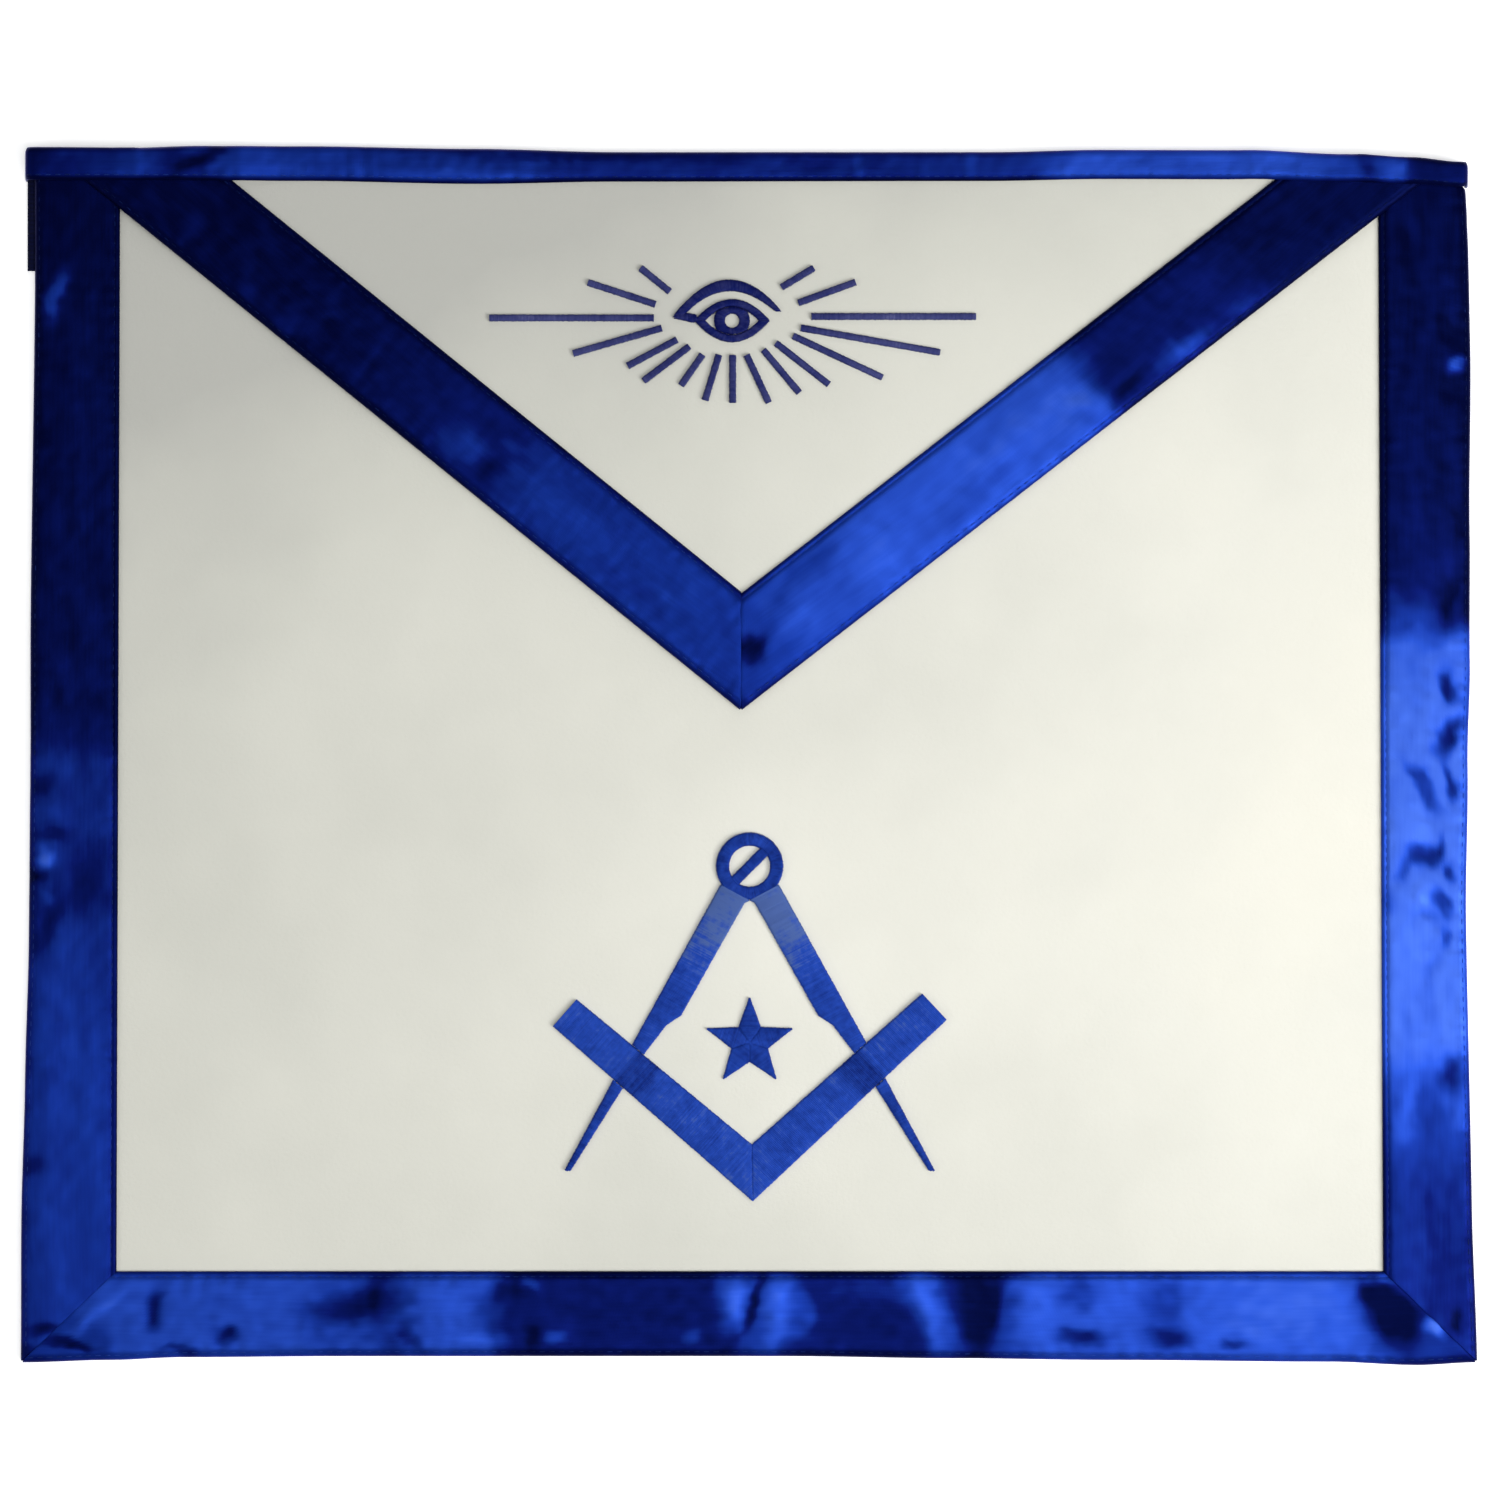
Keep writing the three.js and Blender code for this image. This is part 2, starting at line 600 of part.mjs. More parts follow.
const bindingLeft = waistLeft - bindingOverhang;
const bindingRight = waistRight + bindingOverhang;
const backLeft = waistLeft - beltPeek + beltLength + beltSideGap;
const backRight = waistRight + beltPeek - beltLength - beltSideGap;
const tuck = 0.3; // over which the tucked end closes
const bindingStations = [
  bindingLeft,
  bindingLeft + bindingEnd,
  ...spread(bindingLeft + bindingEnd + tuck, backLeft, waistEndSteps),
  ...spread(backLeft + tuck, backRight - tuck, waistSteps),
  ...spread(backRight, bindingRight - bindingEnd - tuck, waistEndSteps),
  bindingRight - bindingEnd,
  bindingRight,
];

// What lies under the binding: the flap, and near its corners the flap's ribbon too.
function bindingUnder(x) {
  const settle = settleRun / 2;
  const innerX = (side) => {
    const edge = flapEdge(side, flapRibbonWidth);
    return meet(edge.from, edge.along, at(0, bindingLowerY(x)), at(1, 0)).x;
  };
  const past = Math.min(x - innerX('left'), innerX('right') - x);
  const ribbonShare = 1 - smoothstep(past, bindingMargin, settle);
  return flapBottom({ x }) + flapWall + clearance + (ribbonWall + clearance) * ribbonShare;
}

function waistBinding() {
  const flats = [];
  const outlines = bindingStations.map((x) => {
    const closed = x < bindingLeft + bindingEnd + tuck / 2 || x > bindingRight - bindingEnd - tuck / 2;
    const hasBack = x > backLeft + tuck / 2 && x < backRight - tuck / 2;
    const width = waistY(x) - bindingLowerY(x);
    const under = bindingUnder(x);
    const top = under + ribbonWall;
    const section = foldSection({
      width,
      back: hasBack ? width : ribbonWall + sliver,
      bottom: 0,
      under: closed ? bodyBottom : under,
      top,
      lowerRound: hasBack ? foldRound : lipRound,
    });
    flats.push(section.map((p) => at(p.across, p.z)));
    return section.map((p) => {
      const dome = p.share === undefined ? 0 : ribbonCrown * (1 - (2 * p.share - 1) ** 4);
      return new THREE.Vector3(x, waistY(x) - p.across, p.z + dome);
    });
  });
  return loft(outlines, flats[0], flats[flats.length - 1]);
}

// The belt ends

const beltEnd = () => new THREE.BoxGeometry(beltLength, beltWidth, beltThickness);
const beltPlace = {
  left: [waistLeft - beltPeek + beltLength / 2, beltTop.left - beltWidth / 2, beltThickness / 2],
  right: [waistRight + beltPeek - beltLength / 2, beltTop.right - beltWidth / 2, beltThickness / 2],
};

// The embroidery

const stitched = (shape) => new THREE.ExtrudeGeometry(shape, {
  depth: stitchHeight, bevelEnabled: false, curveSegments: holeSteps,
});
const bearing = (degrees) => at(Math.cos(degToRad(degrees)), Math.sin(degToRad(degrees)));

// The square, about its outer vertex. Each arm's inner edge runs from the inner vertex to the arm's end.
const arm = { left: bearing(180 - squareAngleLeft), right: bearing(squareAngleRight) };
const armInward = { left: at(arm.left.y, -arm.left.x), right: at(-arm.right.y, arm.right.x) };
const armInner = (side) => {
  const start = armInward[side].clone().multiplyScalar(squareWidthAtVertex);
  const end = arm[side].clone().multiplyScalar(squareArmLength);
  end.addScaledVector(armInward[side], squareWidthAtEnd);
  return { start, end, along: end.clone().sub(start) };
};

function squareShape() {
  const [left, right] = [armInner('left'), armInner('right')];
  return new THREE.Shape([
    at(0, 0),
    arm.right.clone().multiplyScalar(squareArmLength),
    right.end,
    meet(left.start, left.along, right.start, right.along),
    left.end,
    arm.left.clone().multiplyScalar(squareArmLength),
  ]);
}

// The compasses, about the middle of their joint
const squareFromJoint = at(squareVertexX - compassX, -compassRise);

function compassJointShape() {
  const shape = new THREE.Shape().absarc(0, 0, jointRadius, 0, 2 * Math.PI);
  const half = Math.asin(jointBar / 2 / jointHole);
  for (const turn of [degToRad(jointBarAngle), degToRad(jointBarAngle + 180)]) {
    shape.holes.push(new THREE.Path().absarc(0, 0, jointHole, turn + half, turn + Math.PI - half));
  }
  return shape;
}

// A leg's points in mm, out to the right.
const legPoint = (row) => at(row.out * legSpread, -row.down * legDrop);
const legTip = at(legSpread, -legDrop);
const legOuter = { from: legPoint(legOuterStart), along: legTip.clone().sub(legPoint(legOuterStart)) };

// A point of the right leg, on the given side of the compasses.
const mirrored = (side, p) => at(side === 'left' ? -p.x : p.x, p.y);

// The square's edge nearest to the joint or to the points, a clearance off it, as the given leg sees it.
function squareEdge(side, upper) {
  const inner = armInner(side);
  const from = (upper ? inner.start.clone() : at(0, 0)).add(squareFromJoint);
  const along = upper ? inner.along : arm[side];
  from.addScaledVector(armInward[side], upper ? clearance : -clearance);
  return { from: mirrored(side, from), along: mirrored(side, along) };
}

// Shares of the way from a leg's inner corner to its outer one, where its end has points round the joint.
const legEndShares = [0.2, 0.4, 0.6, 0.8];

function compassLegShape(side) {
  const edge = squareEdge(side, true);
  const rows = legRows.map(legPoint);
  const [beforeLast, last] = rows.slice(-2);
  const reach = jointRadius + clearance;
  const onJoint = (p) => p.clone().setLength(reach);
  const innerCorner = at(clearance / 2, -reach);
  const outerCorner = legPoint(legOuterStart);
  const points = [
    onJoint(outerCorner),
    meet(legOuter.from, legOuter.along, edge.from, edge.along),
    meet(beforeLast, last.clone().sub(beforeLast), edge.from, edge.along),
    ...rows.slice(0, -1).reverse(),
    innerCorner,
    ...legEndShares.map((share) => onJoint(innerCorner.clone().lerp(outerCorner, share))),
  ];
  return new THREE.Shape(points.map((p) => mirrored(side, p)));
}

function compassPointShape(side) {
  const edge = squareEdge(side, false);
  const tipInner = at(legTip.x - pointWidth, legTip.y);
  const inner = { from: legPoint(legRows[legRows.length - 1]) };
  inner.along = tipInner.clone().sub(inner.from);
  const points = [
    meet(legOuter.from, legOuter.along, edge.from, edge.along),
    legTip,
    tipInner,
    meet(inner.from, inner.along, edge.from, edge.along),
  ];
  return new THREE.Shape(points.map((p) => mirrored(side, p)));
}

function starShape() {
  const points = Array.from({ length: 2 * starTips }, (_, i) => {
    const radius = i % 2 === 0 ? starRadius : starRadius * starWaist;
    return bearing(90 + (180 / starTips) * i).multiplyScalar(radius);
  });
  return new THREE.Shape(points);
}

// The eye, about its middle: two arcs that meet in points.
function almond(path, halfWidth, halfHigh) {
  path.moveTo(-halfWidth, 0);
  path.quadraticCurveTo(0, -2 * halfHigh, halfWidth, 0);
  path.quadraticCurveTo(0, 2 * halfHigh, -halfWidth, 0);
  return path;
}

function eyeOutlineShape() {
  const shape = almond(new THREE.Shape(), eyeWidth / 2, eyeHeight / 2);
  shape.holes.push(almond(new THREE.Path(), eyeWidth / 2 - eyeCornerLine, eyeHeight / 2 - eyeLine));
  return shape;
}

// The iris: a ring whose top and bottom are cut by the eye's outline.
function irisShape() {
  const halfWidth = eyeWidth / 2 - eyeCornerLine;
  const halfHigh = eyeHeight / 2 - eyeLine;
  const limitAt = (x) => halfHigh * (1 - (x / halfWidth) ** 2) - clearance;
  const points = spread(0, 2 * Math.PI, irisSteps).slice(0, -1).map((turn) => {
    const p = at(irisRadius * Math.cos(turn), irisRadius * Math.sin(turn));
    const limit = limitAt(p.x);
    return at(p.x, clamp(p.y, -limit, limit));
  });
  const shape = new THREE.Shape(points);
  shape.holes.push(new THREE.Path().absarc(0, 0, pupilRadius, 0, 2 * Math.PI));
  return shape;
}

function lidShape() {
  const left = at(-lidWidth * lidLeftShare, lidLeftEnd);
  const right = at(lidWidth * (1 - lidLeftShare), lidRightEnd);
  const middle = lerp(left.x, right.x, 0.5);
  const shape = new THREE.Shape();
  shape.moveTo(left.x, left.y);
  const ends = (left.y + right.y) / 2;
  shape.quadraticCurveTo(middle, 2 * lidRise - ends, right.x, right.y);
  shape.lineTo(right.x - lidLine / 2, right.y);
  shape.quadraticCurveTo(middle, 2 * (lidRise - lidLine) - ends, left.x + lidLine, left.y + lidLine / 5);
  return shape;
}

const rayShape = (length) => new THREE.Shape([
  at(0, -rayWidth / 2), at(length, -rayWidth / 2), at(length, rayWidth / 2), at(0, rayWidth / 2),
]);

// The scene

const apron = new THREE.Group();

function piece(name, geometry, finish, parent = apron) {
  const material = new THREE.MeshStandardMaterial({ ...finish, metalness: 0 });
  const mesh = new THREE.Mesh(geometry, material);
  mesh.name = name;
  parent.add(mesh);
  return mesh;
}

piece('body_panel', bodyPanel(), leatherette).position.z = bodyBottom;
piece('border_left', sideBorder('left', leftBows, leftPuckers), satin);
piece('border_right', sideBorder('right', rightBows, rightPuckers), satin);
piece('border_bottom', hemBorder(), satin);
piece('flap_panel', flapPanel(), leatherette);
piece('flap_ribbon_left', flapRibbon('left', flapLeftPuckers), satin);
piece('flap_ribbon_right', flapRibbon('right', flapRightPuckers), satin);
piece('waist_binding', waistBinding(), satin);
piece('belt_end_left', beltEnd(), web).position.set(...beltPlace.left);
piece('belt_end_right', beltEnd(), web).position.set(...beltPlace.right);

const emblem = new THREE.Group();
emblem.position.set(squareVertexX, squareVertexRise - halfHeight, bodyTop + clearance);
apron.add(emblem);
piece('square', stitched(squareShape()), thread, emblem);

const compasses = new THREE.Group();
compasses.position.set(-squareFromJoint.x, -squareFromJoint.y, 0);
emblem.add(compasses);
piece('compass_joint', stitched(compassJointShape()), thread, compasses);
for (const side of ['left', 'right']) {
  piece(`compass_leg_${side}`, stitched(compassLegShape(side)), thread, compasses);
  piece(`compass_point_${side}`, stitched(compassPointShape(side)), thread, compasses);
}
piece('star', stitched(starShape()), thread, compasses).position.y = -starDrop;

const eye = new THREE.Group();
eye.position.set(eyeX, halfHeight - eyeDrop, flapBottom({ x: eyeX }) + flapWall + clearance);
apron.add(eye);
piece('eye_outline', stitched(eyeOutlineShape()), thread, eye);
piece('eye_iris', stitched(irisShape()), thread, eye);
piece('eye_lid', stitched(lidShape()), thread, eye);
rayRows.forEach((row, i) => {
  const name = `ray_${String(i + 1).padStart(2, '0')}`;
  const ray = piece(name, stitched(rayShape(row.length * rayLength)), thread, eye);
  const start = bearing(row.bearing).multiplyScalar(row.start * rayRing);
  ray.position.set(start.x, start.y, 0);
  ray.rotation.z = degToRad(row.heading);
});

export default apron;
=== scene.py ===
import math

import bpy
import numpy as np
from mathutils import Euler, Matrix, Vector


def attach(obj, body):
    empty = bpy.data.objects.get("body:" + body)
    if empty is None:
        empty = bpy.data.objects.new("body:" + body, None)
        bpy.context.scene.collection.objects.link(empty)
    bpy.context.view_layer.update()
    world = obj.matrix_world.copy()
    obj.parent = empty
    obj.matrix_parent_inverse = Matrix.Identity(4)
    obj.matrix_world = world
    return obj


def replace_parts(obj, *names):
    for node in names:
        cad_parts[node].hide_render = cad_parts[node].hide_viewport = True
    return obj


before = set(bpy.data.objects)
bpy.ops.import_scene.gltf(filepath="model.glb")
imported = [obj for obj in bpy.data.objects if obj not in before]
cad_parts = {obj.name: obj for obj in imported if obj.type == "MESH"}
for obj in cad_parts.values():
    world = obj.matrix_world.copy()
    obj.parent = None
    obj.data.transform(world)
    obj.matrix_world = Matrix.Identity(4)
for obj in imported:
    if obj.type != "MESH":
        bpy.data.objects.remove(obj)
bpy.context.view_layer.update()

# A fraternal apron of white leatherette with folded satin ribbon, lying flat with its front up.
# Lengths below are in mm, as on the solids. +Z is the front, +Y the waist edge, +X the viewer's right.
MM = 0.001

# Outline
APRON_HEIGHT = 351
WAIST_WIDTH = 411.8
WAIST_SHIFT = -0.7
HEM_WIDTH = 421.4
HALF = APRON_HEIGHT / 2
WAIST_LEFT = WAIST_SHIFT - WAIST_WIDTH / 2
WAIST_RIGHT = WAIST_SHIFT + WAIST_WIDTH / 2
WAIST_CORNER = {"left": WAIST_LEFT, "right": WAIST_RIGHT}

# Cloth
WALL = 1.0  # folded satin with its stiffener
BODY_WALL = 1.2
GAP = 0.3  # between sewn layers
FOLD = 1.4  # radius of a folded edge, to the middle of its wall
FOLD_START = WALL / 2 + FOLD
BACK_LEVEL = WALL / 2
BODY_LEVEL = WALL + GAP + BODY_WALL / 2
BORDER_LEVEL = WALL + GAP + BODY_WALL + GAP + WALL / 2
BORDER_UNDER = BORDER_LEVEL - WALL / 2
BODY_TOP = BODY_LEVEL + BODY_WALL / 2
FLAP_STEP = WALL + GAP  # the flap's ribbon over the flap

# Ribbons
AT_WAIST = {"left": 24.8, "right": 23.3}
AT_HEM = {"left": 27.8, "right": 27.3}
HEM_RIBBON = 26.4
TURN_BACK = 12
BACK_CLEARANCE = GAP + 0.6  # between a belt end and a side ribbon's turned-back leg
BACK_TURN = 3  # length over which that leg turns under
RIBBON_STEP = 0.95  # between a ribbon's cross-sections
CROWN = 0.35  # how far the satin domes between its seams
PUCKER = 0.7  # how high a fold stands whose rise is 1
DRIFT = (0.1, 0.035)  # heights of the satin's slow and quick unevenness
GATHER = 0.09  # height of the gathers beside a seam
MITRE_CUT = 0.03  # trimmed from each ribbon at a mitre
SEAM_IN = 0.945  # seams, as shares of a ribbon's width from its folded edge
SEAM_OUT = 0.062
SEAM_DEPTH = 0.3
EDGE_DROP = 0.42  # how far a sewn edge presses down
MITRE_DROP = 0.1  # how far two ribbons press each other down where they meet
MITRE_REACH = 1.3  # how far from their mitre they do
MITRE_SINE = 0.72  # distance from a mitre for each mm along the ribbon
EDGE_SHADE = 0.3  # painted shade: how much darker the satin is painted at both edges, where they roll away

# Waist binding, flap and belt
BINDING = 9.4
BINDING_BACK = BINDING - 0.6
BINDING_OVERHANG = 2.2
BINDING_ROUND = 1.6  # the binding rounds off this near to its ends
BINDING_TURN = 2  # length over which its turned-back leg turns under
BINDING_MARGIN = 2  # the binding still lies on the flap's ribbon this far past it
POCKET_EASE = 1.2  # room between the waist fold and what is sewn into it
FLAP_INSET = 3.1
FLAP_DEPTH = 162.5
FLAP_TIP_SHIFT = -2.3
FLAP_RIBBON = 26.7
FLAP_TIP_FLAT = 3
SETTLE = 30  # the flap comes down on the body over this width
PRESSED = 20  # the satin fills out over this length below what presses it
BORDER_LIP = 1.5  # level of the side ribbons' edge where it hangs over a belt end
BINDING_LIP = 0.35
FLAP_LIP = 0.3  # above the flap's underside
BELT_WIDTH = 33.5
BELT_LENGTH = 30
BELT_PEEK = 2.3  # how far a belt end shows past the waist's corner
BELT_WALL = 0.9
BELT_RIB = 0.05
BELT_RIB_PITCH = (1.6, 1.1)
BELT_SIDE_GAP = 1.3
BELT_DROP = {"left": 0.7, "right": 7}

# Embroidery
SQUARE_VERTEX = (1.1, 46.9 - HALF)
SQUARE_ARM = 76.7
SQUARE_ANGLE = {"left": 41.2, "right": 43.1}
SQUARE_WIDTH = (12.3, 10.1)
COMPASS = (0.2, 46.9 + 96.7 - HALF)
JOINT = (9.6, 6.1)
JOINT_BAR = 2.8
JOINT_BAR_TURN = 45
LEG_DROP = 88
LEG_SPREAD = 53.4
POINT_WIDTH = 1.5
STAR_DROP = 51
STAR_TIPS = 5
STAR_RADIUS = 13
STAR_WAIST = 0.42
EYE = (-4.9, HALF - 49.8)
EYE_SIZE = (21.7, 12.2)
EYE_LINE = (3, 1.9)
IRIS = (5.1, 2.2)
IRIS_MIDDLE = 3.8
LID_WIDTH = 31.4
LID_RISE = 11.7
LID_LINE = 3.2
LID_LEFT_SHARE = 0.545
LID_ENDS = (1, 2.6)
LID_TAIL = [(-17, 0.8), (-14.4, 2.3), (-10.4, 1.7), (-9.7, 0.2), (-11.2, -0.5), (-14.4, 0.3)]
RAY_RING = 20
RAY_LENGTH = 47.5
RAY_WIDTH = 1.7

# How the waist edge bows and the binding's lower edge sags, as shares of the binding's height.
WAIST_BOWS = [
    (0.0, 0.01), (0.06, 0.0), (0.12, 0.08), (0.19, 0.08), (0.31, 0.0), (0.41, -0.1),
    (0.67, -0.1), (0.75, -0.03), (0.85, -0.04), (0.92, -0.18), (0.965, -0.3), (1.0, -0.44),
]
WAIST_SAGS = [
    (0.0, 0.0), (0.19, 0.0), (0.31, 0.09), (0.41, 0.02), (0.67, 0.0), (0.75, -0.06),
    (0.85, -0.05), (0.92, 0.05), (0.965, 0.12), (1.0, 0.2),
]

# How far each border's folded edge bows out, as shares of its width.
LEFT_BOWS = [
    (0, 0), (0.12, -0.02), (0.37, -0.012), (0.52, -0.03), (0.65, -0.034), (0.77, -0.01),
    (0.88, 0.012), (1, 0),
]
RIGHT_BOWS = [
    (0, 0.03), (0.0125, 0.05), (0.0175, 0.09), (0.035, 0.1), (0.07, 0.11), (0.15, 0.115),
    (0.3, 0.07), (0.41, 0.046), (0.5, 0), (0.63, -0.046), (0.87, -0.03), (1, 0),
]
HEM_BOWS = [
    (0, 0), (0.06, -0.027), (0.11, -0.058), (0.22, -0.07), (0.52, -0.07), (0.64, -0.046),
    (0.75, -0.027), (0.9, -0.008), (0.96, 0.03), (1, 0),
]
STRAIGHT = [(0, 0), (1, 0)]

# Painted highlight and shade of the satin along each ribbon, standing in for its sheen: 0 is the darkest
# navy and 1 the brightest blue.
LEFT_TONES = [
    (0, 0.02), (0.44, 0.07), (0.475, 0.16), (0.51, 0.34), (0.56, 0.36), (0.61, 0.28), (0.66, 0.38),
    (0.75, 0.4), (1, 0.39),
]
RIGHT_TONES = [
    (0, 0.04), (0.2, 0.06), (0.355, 0.13), (0.4, 0.84), (0.47, 0.95), (0.71, 0.96), (0.8, 0.5),
    (0.85, 0.34), (1, 0.28),
]
HEM_TONES = [
    (0, 0.42), (0.035, 0.46), (0.06, 0.66), (0.18, 0.66), (0.235, 0.54), (0.252, 0.42), (0.268, 0.6),
    (0.31, 0.62), (0.328, 0.36), (0.345, 0.24), (0.47, 0.2), (0.485, 0.44), (0.523, 0.46), (0.538, 0.24),
    (0.6, 0.22), (0.615, 0.36), (0.638, 0.36), (0.65, 0.26), (0.672, 0.28), (0.686, 0.66), (0.8, 0.7),
    (0.9, 0.72), (0.925, 0.62), (0.942, 0.42), (1, 0.34),
]
FLAP_LEFT_TONES = [
    (0, 0.01), (0.35, 0.04), (0.5, 0.12), (0.58, 0.24), (0.68, 0.38), (0.88, 0.45), (1, 0.42),
]
FLAP_RIGHT_TONES = [
    (0, 0.02), (0.22, 0.06), (0.3, 0.16), (0.43, 0.22), (0.5, 0.73), (0.75, 0.69), (0.86, 0.61),
    (0.93, 0.48), (1, 0.4),
]
BINDING_TONES = [
    (0, 0.12), (0.02, 0.3), (0.07, 0.38), (0.11, 0.3), (0.13, 0.5), (0.18, 0.5), (0.24, 0.42),
    (0.34, 0.42), (0.38, 0.3), (0.52, 0.36), (0.58, 0.3), (0.69, 0.36), (0.73, 0.66), (0.87, 0.7),
    (0.92, 0.5), (0.95, 0.56), (0.965, 0.5), (0.981, 0.14), (1, 0.03),
]

# Puffs and dents of the satin: where along and across, half their length and half their width as
# shares of the ribbon's width, their slant in degrees, how they change the tone as painted highlight or
# shade, and their rise.
LEFT_FOLDS = [
    (0.114, 0.26, 0.3, 0.11, -18, 0.46, 0.4),
    (0.2, 0.55, 1.2, 0.12, 4, 0.04, 0.1),
    (0.33, 0.3, 1.5, 0.1, -3, 0.04, 0.1),
    (0.43, 0.6, 0.2, 0.3, 10, 0.06, 0.1),
    (0.496, 0.25, 0.2, 0.3, -20, 0.1, 0.1),
    (0.521, 0.15, 0.13, 0.1, -10, -0.18, -0.4),
    (0.543, 0.22, 0.1, 0.12, 0, 0.1, 0.3),
    (0.564, 0.3, 0.08, 0.2, 0, -0.2, -0.3),
    (0.579, 0.19, 0.11, 0.1, 0, 0.55, 0.7),
    (0.596, 0.12, 0.09, 0.14, 0, -0.25, -0.5),
    (0.6, 0.58, 0.4, 0.22, -20, -0.14, -0.5),
    (0.616, 0.16, 0.08, 0.07, 0, 0.18, 0.2),
    (0.641, 0.22, 0.26, 0.12, -18, -0.22, -0.5),
    (0.7, 0.35, 1.4, 0.2, -4, 0.08, 0.15),
    (0.76, 0.25, 0.3, 0.1, -14, -0.08, 0.1),
    (0.79, 0.7, 1.2, 0.16, 5, 0.08, 0.15),
    (0.836, 0.15, 0.12, 0.14, 0, -0.2, -0.3),
    (0.9, 0.4, 0.9, 0.2, 10, 0.06, 0.2),
    (0.972, 0.26, 0.06, 0.16, 12, -0.34, -0.4),
    (0.99, 0.12, 0.06, 0.12, 0, -0.2, -0.2),
]
RIGHT_FOLDS = [
    (0.09, 0.4, 0.8, 0.12, 5, 0.05, 0.15),
    (0.137, 0.19, 0.16, 0.12, 0, -0.12, -0.4),
    (0.163, 0.16, 0.11, 0.11, 0, 0.66, 0.4),
    (0.184, 0.2, 0.14, 0.12, 0, -0.12, -0.4),
    (0.28, 0.6, 1.4, 0.16, -4, 0.06, 0.15),
    (0.297, 0.17, 0.22, 0.06, 0, -0.1, -0.3),
    (0.33, 0.3, 0.2, 0.1, 0, 0.12, 0.2),
    (0.356, 0.23, 0.24, 0.08, 5, -0.2, -0.5),
    (0.372, 0.7, 0.2, 0.3, 20, 0.25, 0.2),
    (0.385, 0.3, 0.12, 0.3, -30, -0.25, -0.2),
    (0.433, 0.24, 0.16, 0.07, -24, -0.6, -0.6),
    (0.476, 0.24, 0.24, 0.1, 28, -0.72, -0.8),
    (0.505, 0.24, 0.12, 0.06, -20, -0.5, -0.5),
    (0.516, 0.52, 0.32, 0.075, -30, -0.5, -0.6),
    (0.519, 0.17, 0.15, 0.07, 0, -0.6, -0.4),
    (0.55, 0.6, 0.24, 0.2, 0, 0.08, 0.3),
    (0.566, 0.33, 0.13, 0.05, 0, -0.42, -0.3),
    (0.574, 0.5, 0.13, 0.2, 12, -0.66, -0.8),
    (0.586, 0.74, 0.12, 0.07, 30, -0.35, -0.5),
    (0.589, 0.17, 0.1, 0.07, 0, -0.6, -0.7),
    (0.604, 0.55, 0.14, 0.14, 0, 0.08, 0.6),
    (0.613, 0.3, 0.18, 0.1, -40, -0.52, -0.6),
    (0.614, 0.9, 0.12, 0.08, 0, -0.2, -0.2),
    (0.624, 0.5, 0.08, 0.2, 20, -0.16, -0.4),
    (0.641, 0.25, 0.12, 0.06, 0, -0.42, -0.4),
    (0.66, 0.4, 0.2, 0.1, 30, -0.1, -0.2),
    (0.7, 0.55, 0.5, 0.2, 8, -0.06, -0.2),
    (0.755, 0.24, 0.16, 0.11, 20, -0.42, -0.5),
    (0.785, 0.5, 0.3, 0.12, 0, -0.16, -0.2),
    (0.8, 0.78, 0.26, 0.1, 0, 0.14, 0.1),
    (0.79, 0.14, 0.2, 0.07, 0, 0.2, 0.2),
    (0.85, 0.8, 0.9, 0.12, 3, 0.05, 0.2),
    (0.9, 0.35, 0.9, 0.2, -5, -0.06, -0.2),
    (0.965, 0.25, 0.12, 0.08, 0, -0.34, -0.5),
]
